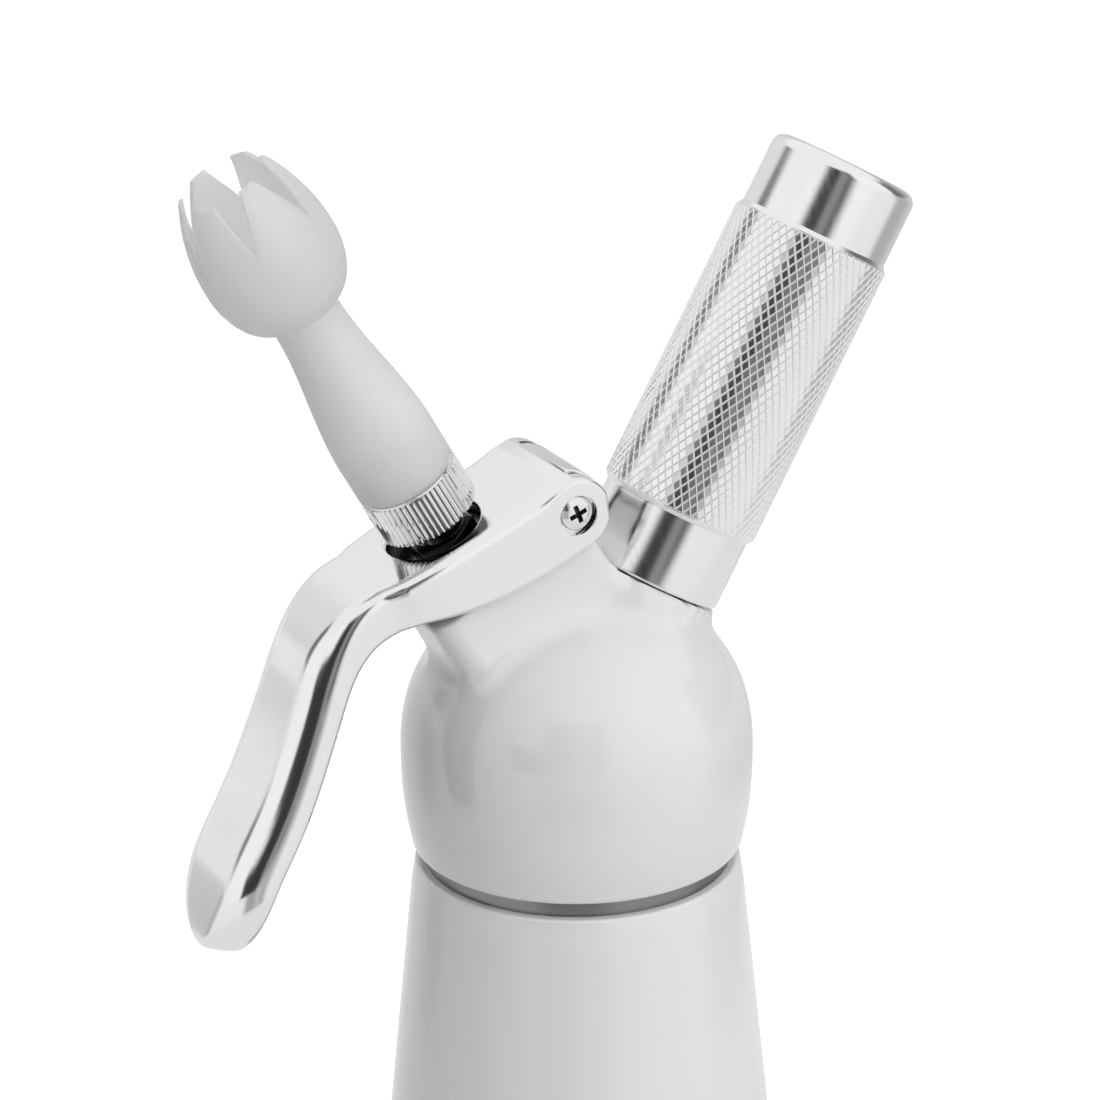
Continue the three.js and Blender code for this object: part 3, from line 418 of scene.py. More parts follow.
def make_bottle():
    mesh = bmesh.new()
    foot = rounded([(0, BASE_HEIGHT), (BASE_RADIUS, BASE_HEIGHT, 2), (STAND_RADIUS, 0, 0.8),
                    (FLASK_BODY, 0, 6), (FLASK_BODY, BODY_TOP)], 8)[:-1]
    shoulder = rounded([(CONE_RADIUS, CONE_START), (FLASK_SHOULDER + 0.45, SHOULDER - 4.6, 24),
                        (FLASK_SHOULDER - 0.3, SHOULDER, 0.7), (COLLAR, SHOULDER)], 6)[1:]
    collar = rounded([(COLLAR, SHOULDER), (COLLAR, COLLAR_TOP, 0.4), (NECK_ROOT, COLLAR_TOP)], 4)
    spin(mesh, foot + flask_side(0, 18) + shoulder, ROUND_SIDES)
    # The collar, the neck, the thread and the inside take the second finish: bare aluminium darkened as
    # painted shade in the gap under the head
    spin(mesh, collar, ROUND_SIDES, finish=1)
    mouth = rounded([(NECK_ROOT, COLLAR_TOP), (NECK_ROOT, RIM, 0.9), (MOUTH, RIM, 0.9), (MOUTH, 164, 4),
                     (27.6, 156, 5), (CONE_RADIUS - FLASK_WALL, CONE_START)], 6)[:-1]
    inside = FLASK_BODY - FLASK_WALL
    floor = rounded([(inside, 20), (inside, FLOOR_TOP, 4.4), (0, FLOOR_TOP)], 8)[1:]
    spin(mesh, mouth + flask_side(FLASK_WALL, 12)[::-1] + floor, ROUND_SIDES, finish=1)
    tidy(mesh)
    ridge = bmesh.new()
    thread(ridge, NECK_ROOT - 0.1, NECK - 0.05, THREAD_START, THREAD_PITCH, 2.5, finish=1)
    return joined(mesh, [tidy(ridge, 4)])


# Head: dome, valve tower and the holder's boss flow into each other, and the pivot's lug stands on the tower
EDGE, DOME, BULGE, DOME_TOP, DOME_POWER = 28.3, 30.2, 17.0, 45.0, 2.3
THREAD, GASKET_SEAT, CAVITY_TOP, CAVITY_POWER = 23.9, 14.4, 30.0, 2.4
TOWER_MIDDLE, TOWER_HALF_LENGTH, TOWER_HALF_WIDTH = 4.4, 15.7, 9.1
TOWER_LEFT_ROUND, TOWER_RIGHT_ROUND = 4.2, 1.5
TOWER_BOTTOM, TOWER_TOP, VALVE_NECK, VALVE_NECK_TOP = 4.0, 36.9, 9.0, 37.0
BOSS, BOSS_BOTTOM, BOSS_TOP, HOLDER_ROOM = 13.15, 2.1, 30.1, 13.45
FOOT_ROUND, TOWER_ROUND, NECK_ROUND, BOSS_ROUND = 0.8, 0.7, 0.6, 0.5
TOWER_BLEND, BOSS_BLEND = 4.0, 3.0
LEAN = math.radians(VALVE_LEAN)
CROSSING = np.array([AXES_X, 0, AXES_Z])
ALONG_VALVE = np.array([-math.sin(LEAN), 0, math.cos(LEAN)])
ACROSS_VALVE = np.array([math.cos(LEAN), 0, math.sin(LEAN)])
ALONG_HOLDER = np.array([math.sin(math.radians(HOLDER_LEAN)), 0, math.cos(math.radians(HOLDER_LEAN))])
SIDEWAYS = np.array([0, 1.0, 0])


# Two shapes as one, with a soft fillet of the given width between them
def blended(first, second, width):
    overlap = np.maximum(width - np.abs(first - second), 0) / width
    return np.minimum(first, second) - overlap ** 2 * width / 4


# A box with rounded corners, from how far points lie outside each pair of its sides
def round_box(offsets, corner):
    outside = np.sqrt(sum(np.maximum(offset + corner, 0) ** 2 for offset in offsets))
    return outside + np.minimum(np.max([offset + corner for offset in offsets], axis=0), 0) - corner


def slab(height, low, high):
    return np.abs(height - (low + high) / 2) - (high - low) / 2


# How far points lie outside the head; less than zero is inside
def head_depth(points):
    radius, height = np.hypot(points[..., 0], points[..., 1]), points[..., 2]
    low = np.clip(1 - height / BULGE, 0, 1)
    foot = np.clip(1 - height / FOOT_ROUND, 0, 1)
    skirt = DOME - (DOME - EDGE) * low ** DOME_POWER - FOOT_ROUND * (1 - np.sqrt(1 - foot ** 2))
    rise = np.maximum(height - BULGE, 0) / (DOME_TOP - BULGE)
    crown = ((radius / DOME) ** DOME_POWER + rise ** DOME_POWER) ** (1 / DOME_POWER)
    dome = np.where(height < BULGE, radius - skirt, (crown - 1) * DOME)
    apart = points - CROSSING
    valve_x, side, valve_z = apart @ ACROSS_VALVE, apart[..., 1], apart @ ALONG_VALVE
    off_valve = np.hypot(valve_x, side)
    bend = np.where(valve_x < TOWER_MIDDLE, TOWER_LEFT_ROUND, TOWER_RIGHT_ROUND)
    wall = round_box([np.abs(valve_x - TOWER_MIDDLE) - TOWER_HALF_LENGTH,
                      np.abs(side) - TOWER_HALF_WIDTH], bend)
    tower = round_box([wall, slab(valve_z, TOWER_BOTTOM, TOWER_TOP)], TOWER_ROUND)
    neck = round_box([off_valve - VALVE_NECK, slab(valve_z, TOWER_BOTTOM, VALVE_NECK_TOP)], NECK_ROUND)
    holder_z = apart @ ALONG_HOLDER
    off_holder = np.sqrt(np.maximum((apart ** 2).sum(-1) - holder_z ** 2, 0))
    boss = round_box([off_holder - BOSS, slab(holder_z, BOSS_BOTTOM, BOSS_TOP)], BOSS_ROUND)
    room = np.maximum(off_holder - HOLDER_ROOM, BOSS_TOP - holder_z)
    body = blended(np.minimum(tower, neck), dome, TOWER_BLEND)
    return np.maximum(blended(body, boss, BOSS_BLEND), -room)


# The hollow in the dome over the gasket's seat, in shares of its size
def cavity_depth(points):
    radius, height = np.hypot(points[..., 0], points[..., 1]), points[..., 2]
    rise = np.maximum(height - GASKET_SEAT, 0) / (CAVITY_TOP - GASKET_SEAT)
    return ((radius / MOUTH) ** CAVITY_POWER + rise ** CAVITY_POWER) - 1


# Directions that swing evenly from the first to the second
def turned(first, second, shares):
    ends = [end / np.linalg.norm(end, axis=-1, keepdims=True) for end in (first, second)]
    angle = np.arccos(np.clip((ends[0] * ends[1]).sum(-1, keepdims=True), -1, 1))
    return np.array([(np.sin((1 - t) * angle) * ends[0] + np.sin(t * angle) * ends[1]) / np.sin(angle)
                     for t in shares])


# The points where rays from the start leave the shape
def reach(depth, start, directions, low, high):
    near, far = np.full(directions.shape[:-1], low), np.full(directions.shape[:-1], high)
    for _ in range(40):
        middle = (near + far) / 2
        outside = depth(start + middle[..., None] * directions) > 0
        near, far = np.where(outside, near, middle), np.where(outside, middle, far)
    return start + near[..., None] * directions


def make_head():
    angles = np.linspace(0, 2 * math.pi, ROUND_SIDES + 1)[:, None]
    spokes = np.cos(angles) * np.array([1.0, 0, 0]) + np.sin(angles) * SIDEWAYS
    valve_spokes = np.cos(angles) * ACROSS_VALVE + np.sin(angles) * SIDEWAYS

    def on_valve(radius, height):
        return CROSSING + radius * valve_spokes + height * ALONG_VALVE

    def on_head(radius, height):
        return radius * spokes + np.array([0, 0, height])

    rim = on_head(EDGE - FOOT_ROUND, 0)
    directions = turned(rim - CROSSING, on_valve(8.6, VALVE_NECK_TOP) - CROSSING, np.linspace(0, 1, 170)[1:])
    outside = [rim, *reach(head_depth, CROSSING, directions, 8.0, 70.0)]
    bore = [outside[-1]] + [on_valve(*ring) for ring in (
        (8.2, VALVE_NECK_TOP), (7.8, VALVE_NECK_TOP), (7.4, VALVE_NECK_TOP - 0.4), (7.4, 28), (7.4, 19.5),
        (4.8, 19.5), (4.8, 13.5), (7.6, 13.5))]
    mouth = reach(cavity_depth, on_valve(7.6, -10), np.broadcast_to(ALONG_VALVE, rim.shape), 0.0, 24.0)
    middle = np.array([-3.0, 0, 15.0])
    directions = turned(mouth - middle, on_head(MOUTH, GASKET_SEAT) - middle, np.linspace(0, 1, 22))
    roof = reach(cavity_depth, middle, directions, 0.0, 40.0)
    skirt = [on_head(*ring) for ring in (
        (MOUTH, GASKET_SEAT), (THREAD, GASKET_SEAT), (THREAD, 0.6), (24.6, 0))]
    mesh = bmesh.new()
    skin(mesh, np.array(outside))
    # The bore, the hollow over the gasket and the skirt's inside take the second finish, rough casting
    # darkened as painted shade
    skin(mesh, np.array([*bore, *roof, *skirt, rim]), 1)
    tidy(mesh)
    lug_end = arc(*LEVER_PIVOT, 4.5, 180, -50, 24)
    lug = side_plate([(9.5, 30), (14.1, 37), *lug_end, (19.8, 34.5), (19.8, 30), (17, 28)], 7.9, 0.4)
    lug.transform(Matrix.Translation(CROSSING) @ Matrix.Rotation(-LEAN, 4, "Y"))
    return joined(mesh, [lug])


# Lever: sections along its length, from the ears over the plate and down the handle
PLATE_HEIGHT, EAR, EAR_FLAT, EAR_FLAT_ANGLE = 6.1, 6.3, 5.87, math.radians(22)
HALF_WIDTH, WALL, PLATE = 12.5, 3.1, 2.4
SLOPE, SKIRT_END, SKIRT_RISE = 0.112, -12.7, 7.1
CROWN_X, CROWN_DEPTH, WAIST, REACH, DROP = -15.0, 8.2, 10.4, 57.9, 36.4
HANDLE_HALF_WIDTH, HANDLE_DEPTH, PLATE_ROUND, GRIP_ROUND = 12.0, 7.2, 2.2, 5.6
BACK = [(0, 0), (0.07, -0.026), (0.143, -0.013), (0.212, 0.023), (0.276, 0.08), (0.329, 0.148),
        (0.379, 0.224), (0.46, 0.333), (0.539, 0.435), (0.621, 0.533), (0.71, 0.623), (0.784, 0.69),
        (0.855, 0.774), (0.923, 0.866), (0.965, 0.935), (1, 1)]
TIP_SHARE, TIP_POWER = 0.79, 0.35
EAR_ROUND, EYE_INSET, SKIRT_ROUND = 0.9, 0.12, 1.2
PLATE_STATIONS, HANDLE_STATIONS, TIP_STATIONS = 32, 40, 16
LINE_POINTS, SMOOTHING, SPAN = 400, 3.2, 60
ROLL, ROLL_INSIDE, ROLL_HALF_WIDTH, HOLE, HOLE_RIM, HOLE_X = 6.5, 4.8, 8.0, 8.2, 1.5, -0.9


def lever_top(x):
    return LEVER_PIVOT[1] + PLATE_HEIGHT + SLOPE * (LEVER_PIVOT[0] - x)


def eased(value):
    share = min(max(value, 0), 1)
    return share * share * (3 - 2 * share)


# The handle's back as an even line, smoothed, with its directions
def handle_back():
    points = np.array([(CROWN_X - REACH * along, lever_top(CROWN_X) - DROP * down) for along, down in BACK])
    steps = np.concatenate([[0], np.cumsum(np.hypot(*np.diff(points, axis=0).T))])
    length = steps[-1]
    line = np.linspace(0, length, LINE_POINTS)
    path = np.stack([np.interp(line, steps, points[:, k]) for k in (0, 1)], axis=1)
    headings = np.unwrap(np.arctan2(*np.diff(path, axis=0).T[::-1]))
    spread = np.exp(-0.5 * (np.arange(-SPAN, SPAN + 1) * length / LINE_POINTS / SMOOTHING) ** 2)
    headings = np.convolve(np.pad(headings, SPAN, mode="edge"), spread / spread.sum(), mode="valid")
    moves = np.stack([np.cos(headings), np.sin(headings)], axis=1) * length / (LINE_POINTS - 1)
    smooth = points[0] + np.concatenate([[[0, 0]], np.cumsum(moves, axis=0)])
    smooth += np.linspace(0, 1, LINE_POINTS)[:, None] * (points[-1] - smooth[-1])
    return smooth


# One closed section of the lever, a box with rounded corners between its top and bottom points
def section(top, bottom, half_width, top_round, bottom_round):
    height = math.dist(top, bottom)
    upper = min(top_round, height * 0.8, half_width * 0.9)
    lower = min(bottom_round, height * 0.18, half_width * 0.9)
    support = min(0.15, upper * 0.1)
    flat = [(half_width, lower + support), (half_width, height - upper - support),
            *arc(half_width - upper, height - upper, upper, 0, 90, 10),
            (half_width - upper - support, height), (0, height), (support + upper - half_width, height),
            *arc(upper - half_width, height - upper, upper, 90, 180, 10),
            (-half_width, height - upper - support), (-half_width, lower + support),
            *arc(lower - half_width, lower, lower, 180, 270, 5), (0, 0),
            *arc(half_width - lower, lower, lower, 270, 360, 5), (half_width, lower + support)]
    run = np.array(flat)
    share = run[:, 1:] / height
    low, high = np.array([bottom[0], 0, bottom[1]]), np.array([top[0], 0, top[1]])
    return low + (high - low) * share + run[:, :1] * SIDEWAYS


# Stations of the lever: (top point, bottom point, half width, upper rounding, lower rounding)
def lever_stations():
    stations = []
    for share in np.linspace(0, 1, PLATE_STATIONS + 1):
        x = LEVER_PIVOT[0] - (LEVER_PIVOT[0] - SKIRT_END) * share
        crisp = eased((x - 13) / 5.5)
        stations.append(((x, lever_top(x)), (x, LEVER_PIVOT[1] - EAR + SKIRT_RISE * share * share),
                         HALF_WIDTH + (WAIST - HALF_WIDTH) * eased((share - 0.7) / 0.6),
                         PLATE_ROUND + (EAR_ROUND - PLATE_ROUND) * crisp,
                         SKIRT_ROUND + (EAR_ROUND - SKIRT_ROUND) * crisp))
    back = handle_back()
    handle = [(i / HANDLE_STATIONS * TIP_SHARE, 1.0) for i in range(HANDLE_STATIONS + 1)]
    tip = [(TIP_SHARE + (1 - TIP_SHARE) * math.sin(angle), math.cos(angle) ** 0.8)
           for angle in np.linspace(0, 0.95, TIP_STATIONS + 1)[1:] * math.pi / 2]
    for share, round_share in handle + tip:
        place = share * (LINE_POINTS - 1)
        k = min(int(place), LINE_POINTS - 3)
        point = back[k] + (back[k + 1] - back[k]) * (place - k)
        along = back[k + 1] - back[k]
        inward = np.array([-along[1], along[0]]) / np.linalg.norm(along)
        depth = CROWN_DEPTH + (HANDLE_DEPTH - CROWN_DEPTH) * eased(share / 0.46)
        sink = depth * (1 - round_share ** TIP_POWER) / 2
        stations.append((tuple(point + inward * sink), tuple(point + inward * (depth - sink)),
                         (WAIST + (HANDLE_HALF_WIDTH - WAIST) * eased(share / 0.7)) * round_share,
                         PLATE_ROUND + (GRIP_ROUND - PLATE_ROUND) * eased(share / 0.28), SKIRT_ROUND))
    return stations


def lofted(stations, finish=0):
    mesh = bmesh.new()
    skin(mesh, np.array([section(*station) for station in stations]))
    tidy(mesh, 80)
    for face in mesh.faces:
        face.material_index = finish
    return mesh


# The open channel under the lever, which ends before the handle's tip
def channel_stations(stations):
    hollow = []
    for top, bottom, half_width, _, _ in stations[:-9]:
        down = (np.array(bottom) - top) / math.dist(top, bottom)
        hollow.append((tuple(top + down * PLATE), tuple(bottom + down * 2), half_width - WALL, 1.0, 1.0))
    return hollow


# The ears' eye: round, with the plate's flat over it and a flat cut behind it
def eye():
    rows = []
    for turn in np.radians(np.linspace(0, 360, 145)):
        level = math.sin(turn) + SLOPE * math.cos(turn)
        behind = math.cos(turn + EAR_FLAT_ANGLE)
        radius = min(EAR, PLATE_HEIGHT / max(level, 0.01), EAR_FLAT / max(behind, 0.01))
        if math.cos(turn) < -0.001:
            radius -= EYE_INSET
        rim = arc(radius - EAR_ROUND, HALF_WIDTH - EAR_ROUND, EAR_ROUND, 90, 0, 8)
        profile = [(0, HALF_WIDTH), *rim, (radius, 0), *[(r, -y) for r, y in reversed(rim)],
                   (0, -HALF_WIDTH)]
        rows.append([(LEVER_PIVOT[0] + r * math.cos(turn), y, LEVER_PIVOT[1] + r * math.sin(turn))
                     for r, y in profile])
    mesh = bmesh.new()
    skin(mesh, np.array(rows))
    return tidy(mesh)


# The hole through the plate, with a rim that is rounded most towards the sides
def plate_hole():
    top = lever_top(0)
    rim = [(HOLE + HOLE_RIM * (1 - math.cos(angle)), top - HOLE_RIM * (1 - math.sin(angle)))
           for angle in np.radians(np.linspace(0, 88, 8))]
    outer = HOLE + HOLE_RIM + 0.05
    mesh = spun([(0, 38), (HOLE, 38), *rim, (outer, top + 0.4), (outer, 60), (0, 60)], 128)
    # The hole's wall below its rounded rim takes the second finish, dark as painted shade inside the hole
    for face in mesh.faces:
        face.material_index = int(face.calc_center_median().z < top - HOLE_RIM - 0.1)
    for vert in mesh.verts:
        radius = math.hypot(vert.co.x, vert.co.y)
        if radius > HOLE:
            share = (HOLE + (radius - HOLE) * (0.3 + 0.7 * (vert.co.y / radius) ** 2)) / radius
            vert.co.x *= share
            vert.co.y *= share
        vert.co.z -= SLOPE * vert.co.x
    bmesh.ops.translate(mesh, verts=mesh.verts[:], vec=(HOLE_X, 0, 0))
    return mesh


# Under the plate two pads press on the flange of the valve stem
PAD_HEIGHT, PAD_SIDE = 0.9, 9.0
PAD_BOTTOM = lever_top(0) - PLATE - PAD_HEIGHT
PLAY = 0.3
FLANGE_TOP = PAD_BOTTOM - PLAY


def make_lever():
    px, pz = LEVER_PIVOT
    stations = lever_stations()
    body = carved(lofted(stations), [eye()], "UNION")
    inner = HALF_WIDTH - WALL
    # The rooms round the pivot, the channel and the pads take the second finish: rough casting darkened as
    # painted shade under the lever
    pivot_room = side_plate([(px - ROLL_INSIDE, pz - 14), *arc(px, pz, ROLL_INSIDE, 180, 0, 24),
                             (px + ROLL_INSIDE, pz - 14)], inner, 0, 1)
    rear_room = side_plate([(px + 3.0, pz - 14), (px + 3.0, pz + 14), (px + 14, pz + 14),
                            (px + 14, pz - 14)], inner, 0, 1)
    screw_seat = crossways(rounded([(0, -15), (3.9, -15), (3.42, -12.3, 0.3), (3.42, -10.3), (0, -10.3)]),
                           px, pz, 64)
    screw_bore = crossways([(0, -14), (1.8, -14), (1.8, -8), (0, -8)], px, pz)
    far_seat = crossways([(0, 15), (3.9, 15), (3.7, 12.35), (3.7, 11), (0, 11)], px, pz)
    far_bore = crossways([(0, 14), (2.9, 14), (2.9, 8), (0, 8)], px, pz)
    body = carved(body, [lofted(channel_stations(stations), 1), pivot_room, rear_room, plate_hole(),
                         screw_seat, screw_bore, far_seat, far_bore])
    roll = side_plate([*arc(px, pz, ROLL, 63, -12, 30), *arc(px, pz, ROLL_INSIDE, -12, 63, 24)],
                      ROLL_HALF_WIDTH, 0.3)
    pad_top = PAD_BOTTOM + 1.6
    pads = []
    for side in (-1, 1):
        pad = side_plate([(-2.5, PAD_BOTTOM), (2.5, PAD_BOTTOM), (2.5, pad_top), (-2.5, pad_top)],
                         0.6, 0.15, 1)
        bmesh.ops.translate(pad, verts=pad.verts[:], vec=(0, side * PAD_SIDE, 0))
        pads.append(pad)
    return joined(body, [roll, *pads])


# Pivot screw: a domed head with a cross recess, and its shank
def make_pivot_screw():
    head = crossways(rounded([(0, -12.15), (1.6, -12.05, 3.0), (2.95, -11.5, 0.35), (2.95, -10.6),
                              (1.5, -10.6), (1.5, 5.9, 0.3), (0, 5.9)]), 0, 0, 64)
    # The cutters mark the cross recess with the second finish, dark as painted shade in the recess
    arms = []
    for turn in (8, 98):
        arm = side_plate([(-2.2, -0.5), (2.2, -0.5), (2.2, 0.5), (-2.2, 0.5)], 1.3, 0, 1)
        for vert in arm.verts:
            if vert.co.y > 0:
                vert.co.x *= 0.5
                vert.co.z *= 0.7
        bmesh.ops.rotate(arm, verts=arm.verts[:], cent=(0, 0, 0),
                         matrix=Matrix.Rotation(math.radians(turn), 3, "Y"))
        bmesh.ops.translate(arm, verts=arm.verts[:], vec=(0, -12.1, 0))
        arms.append(arm)
    mesh = carved(head, arms)
    bmesh.ops.translate(mesh, verts=mesh.verts[:], vec=(LEVER_PIVOT[0] + 0.15, 0, LEVER_PIVOT[1]))
    return mesh


def make_pivot_sleeve():
    return crossways(rounded([(1.8, -9.1), (2.6, -9.1, 0.3), (2.6, 11.3), (3.4, 11.3), (3.4, 12.35, 0.5),
                              (0, 12.35), (0, 6.25), (1.8, 6.2)]), *LEVER_PIVOT, 64)


# Valve stem: spigot, flange, hexagon and the thread that carries the nozzle
def make_stem():
    flange = FLANGE_TOP
    outline = rounded([(0, 10.5), (2.6, 10.5, 0.2), (2.6, 13.5), (3.6, 13.5, 0.3), (3.6, flange - 2.4),
                       (9.1, flange - 2.4, 0.5), (9.1, flange, 0.5), (4.7, flange), (4.7, 57.5, 0.6),
                       (2.1, 57.5, 0.2), (2.1, 15.4), (0, 15.4)], 4)
    mesh = spun(outline, 96)
    # Faces above the flange, the hexagon and the thread take the second finish: chrome darkened as painted
    # shade in the hole under the ferrule
    for face in mesh.faces:
        face.material_index = int(face.calc_center_median().z > flange - 0.2)
    hexagon = bmesh.new()
    bmesh.ops.create_cone(hexagon, cap_ends=True, segments=6, radius1=6.2, radius2=6.2, depth=2.8)
    bmesh.ops.translate(hexagon, verts=hexagon.verts[:], vec=(0, 0, flange + 1.2))
    bmesh.ops.bevel(hexagon, geom=hexagon.edges[:], offset=0.25, affect="EDGES", segments=2, profile=0.5,
                    material=-1)
    for face in hexagon.faces:
        face.material_index = 1
    ridge = bmesh.new()
    thread(ridge, 4.6, 5.0, 49.2, 1.25, 6, 1)
    return joined(mesh, [hexagon, tidy(ridge, 4)])


# Ferrule: rounded teeth and a spigot inside the nozzle, as rows of (radius, height, share of a tooth)
TEETH, TOOTH_HEIGHT, GROOVE = 55, 0.5, 8.25
FERRULE = ((5.3, 51.1, 0), (7.8, 51.1, 0), (8.15, 51.2, 0), (8.2, 51.3, 0.6), (GROOVE, 51.55, 1),
           (GROOVE, 58.9, 1), (GROOVE, 59.1, 0.7), (GROOVE, 59.1, 0), (8.2, 59.45, 0), (8.0, 59.6, 0),
           (6.3, 59.6, 0), (6.3, 65.3, 0), (6.0, 65.6, 0), (3.4, 65.6, 0), (3.4, 57.8, 0), (5.3, 57.8, 0),
           (5.3, 51.1, 0))


def ring_points(radius, around, height):
    level = np.broadcast_to(height, around.shape)
    return np.stack([radius * np.cos(around), radius * np.sin(around), level], axis=1)


def make_ferrule():
    around = np.linspace(0, 2 * math.pi, TEETH * 8 + 1)
    tooth = np.clip(0.5 + 0.95 * np.cos(TEETH * around), 0, 1)
    rows = []
    for radius, height, raised in FERRULE:
        rows.append(ring_points(radius + TOOTH_HEIGHT * raised * tooth, around, height))
    mesh = bmesh.new()
    skin(mesh, np.array(rows))
    tidy(mesh)
    # The underside, the bore of the spigot and the grooves between the teeth take the second finish: chrome
    # darkened as painted shade
    for face in mesh.faces:
        middle = face.calc_center_median()
        radius = math.hypot(middle.x, middle.y)
        under = middle.z < 51.15 or middle.z > 57.8 and radius < 6
        groove = 51.4 < middle.z < 59.1 and radius < GROOVE + 0.04
        face.material_index = int(under or groove)
    return mesh


# Nozzle: a tapering stem, a narrow neck and a tulip of six petals
NOZZLE_SEAT, TAPER_END, BOWL_START, BOWL_HEIGHT, TIP = 59.9, 93.4, 95.2, 105.5, 120.8
SEAT_RADIUS, STEM_RADIUS, BOWL_RADIUS, TIP_RADIUS, NOZZLE_WALL = 8.65, 5.85, 11.65, 7.9, 1.3
NOTCH_DEPTH, NOTCH_HALF_ANGLE, PETAL_ANGLE, PETAL_AZIMUTH, TIP_WALL = 10.4, 18.5, 60, 40.0, 0.45


def nozzle_radius(height):
    share = np.clip((height - NOZZLE_SEAT) / (TAPER_END - NOZZLE_SEAT), 0, 1)
    fall = np.clip((share - 0.2) / 0.8, 0, 1)
    stem = SEAT_RADIUS + (STEM_RADIUS - SEAT_RADIUS) * fall * fall * (3 - 2 * fall)
    swell = np.clip((height - BOWL_START) / (BOWL_HEIGHT - BOWL_START), 0, 1)
    bowl = (BOWL_RADIUS - STEM_RADIUS) * np.sqrt(1 - (1 - swell) ** 2)
    close = np.clip((height - BOWL_HEIGHT) / (TIP - BOWL_HEIGHT), 0, 1.1)
    return stem + bowl - (BOWL_RADIUS - TIP_RADIUS) * close ** 2.05


def make_nozzle():
    around = np.radians(np.linspace(0, 360, 433))
    off_notch = np.abs((np.degrees(around) - PETAL_AZIMUTH) % PETAL_ANGLE - PETAL_ANGLE / 2)
    rim = TIP - NOTCH_DEPTH + NOTCH_DEPTH * np.clip(off_notch / NOTCH_HALF_ANGLE, 0, 1) ** 0.72
    rows = []

    def ring(radius, height):
        rows.append(ring_points(radius, around, height))

    def row(height, inset):
        ring(nozzle_radius(height) - inset, height)

    ring(6.6, NOZZLE_SEAT)
    ring(SEAT_RADIUS - 0.25, NOZZLE_SEAT)
    for height in np.linspace(NOZZLE_SEAT + 0.25, BOWL_START, 40):
        row(height, 0)
    steps = np.linspace(0, 1, 41)
    for share in steps[1:]:
        row(BOWL_START + (rim - BOWL_START) * share, 0)
    for angle in np.radians((30, 60, 90, 120, 150)):
        row(rim + TIP_WALL * math.sin(angle), TIP_WALL * (1 - math.cos(angle)))
    for share in steps[:4:-1]:
        thickness = 2 * TIP_WALL + (NOZZLE_WALL - 2 * TIP_WALL) * (1 - share)
        row(BOWL_START + (rim - BOWL_START) * share, thickness)
    for radius, height in ((3.6, 97.6), (3.4, 97.2), (3.4, 66), (6.6, 66)):
        ring(radius, height)
    rows.append(rows[0])
    mesh = bmesh.new()
    skin(mesh, np.array(rows))
    return tidy(mesh)


# Charger holder: a turned sleeve with a closed, rounded end and a band of raised diamonds
HOLDER_BOTTOM, HOLDER_HEIGHT, HOLDER_RADIUS, KNURL_RADIUS = 30.4, 77.65, 13.15, 14.0
KNURL_START, KNURL_END, KNURL_DEPTH, KNURL_STEP = 13.2, 63.9, 0.24, 0.85
DIAMONDS_AROUND, DIAMONDS_ALONG = 60, 20


def make_knurl():
    groove = KNURL_RADIUS - KNURL_DEPTH
    around = np.linspace(0, 2 * math.pi, DIAMONDS_AROUND + 1)
    heights = np.linspace(HOLDER_BOTTOM + KNURL_START, HOLDER_BOTTOM + KNURL_END, DIAMONDS_ALONG + 1)
    mesh = bmesh.new()
    skin(mesh, np.array([ring_points(groove, around, height) for height in heights]))
    bmesh.ops.remove_doubles(mesh, verts=mesh.verts[:], dist=0.002)
    cells = [edge for edge in mesh.edges if not edge.is_boundary]
    bmesh.ops.poke(mesh, faces=mesh.faces[:])
    for vert in mesh.verts:
        radius = math.hypot(vert.co.x, vert.co.y)
        vert.co.x *= groove / radius
        vert.co.y *= groove / radius
    bmesh.ops.dissolve_edges(mesh, edges=cells, use_verts=False, use_face_split=False)
    bmesh.ops.recalc_face_normals(mesh, faces=mesh.faces[:])
    bmesh.ops.inset_individual(mesh, faces=mesh.faces[:], thickness=0.17, depth=KNURL_DEPTH,
                               use_even_offset=True)
    return mesh


def make_holder():
    at, top = HOLDER_BOTTOM, HOLDER_BOTTOM + HOLDER_HEIGHT
    start, end = at + KNURL_START, at + KNURL_END
    bed = KNURL_RADIUS - 0.3
    outline = rounded([(10.9, at), (HOLDER_RADIUS, at, 0.5), (HOLDER_RADIUS, start - KNURL_STEP, 0.3),
                       (bed, start - 0.1), (bed, end + 0.1), (HOLDER_RADIUS, end + KNURL_STEP, 0.3),
                       (HOLDER_RADIUS, top, 2.2), (0, top)], 8)
    inside = [(0, 102.7), (10.5, 102.7), (10.5, at + 14), (10.9, at + 14)]
    mesh = spun(outline + inside, 180)
    return joined(mesh, [make_knurl()])


set_piece("bottle", make_bottle(), FLASK, [white_lacquer, bare_aluminium_painted_shade], "flask_body")
set_piece("head", make_head(), HEAD, [white_lacquer, rough_casting_painted_shade], "head_body", 40)
set_piece("lever", make_lever(), VALVE, [polished_casting, rough_casting_painted_shade], "lever_body", 28)
set_piece("lever_pivot_screw", make_pivot_screw(), VALVE, [bright_chrome, recess_painted_shade], "lever_body")
set_piece("lever_pivot_sleeve", make_pivot_sleeve(), VALVE, [plain_steel], "lever_body")
set_piece("valve_stem", make_stem(), VALVE, [bright_chrome, chrome_painted_shade], "stem_body")
set_piece("nozzle_ferrule", make_ferrule(), VALVE, [bright_chrome, chrome_painted_shade], "nozzle_body")
set_piece("nozzle", make_nozzle(), VALVE, [milky_plastic_painted_glow], "nozzle_body")
set_piece("charger_holder", make_holder(), HOLDER, [turned_metal], "holder_body")


# Camera at the photographed angle. The focal length is in pixels of the picture, the shift in millimetres.
CAMERA_ANGLES = (-26.855, 20.368, -0.572)
CAMERA_DISTANCE, CAMERA_ACROSS, CAMERA_UP = 700, -4.221, 49.421
PICTURE_WIDTH, FOCAL_LENGTH, SENSOR_WIDTH = 1100, 4048.19, 36


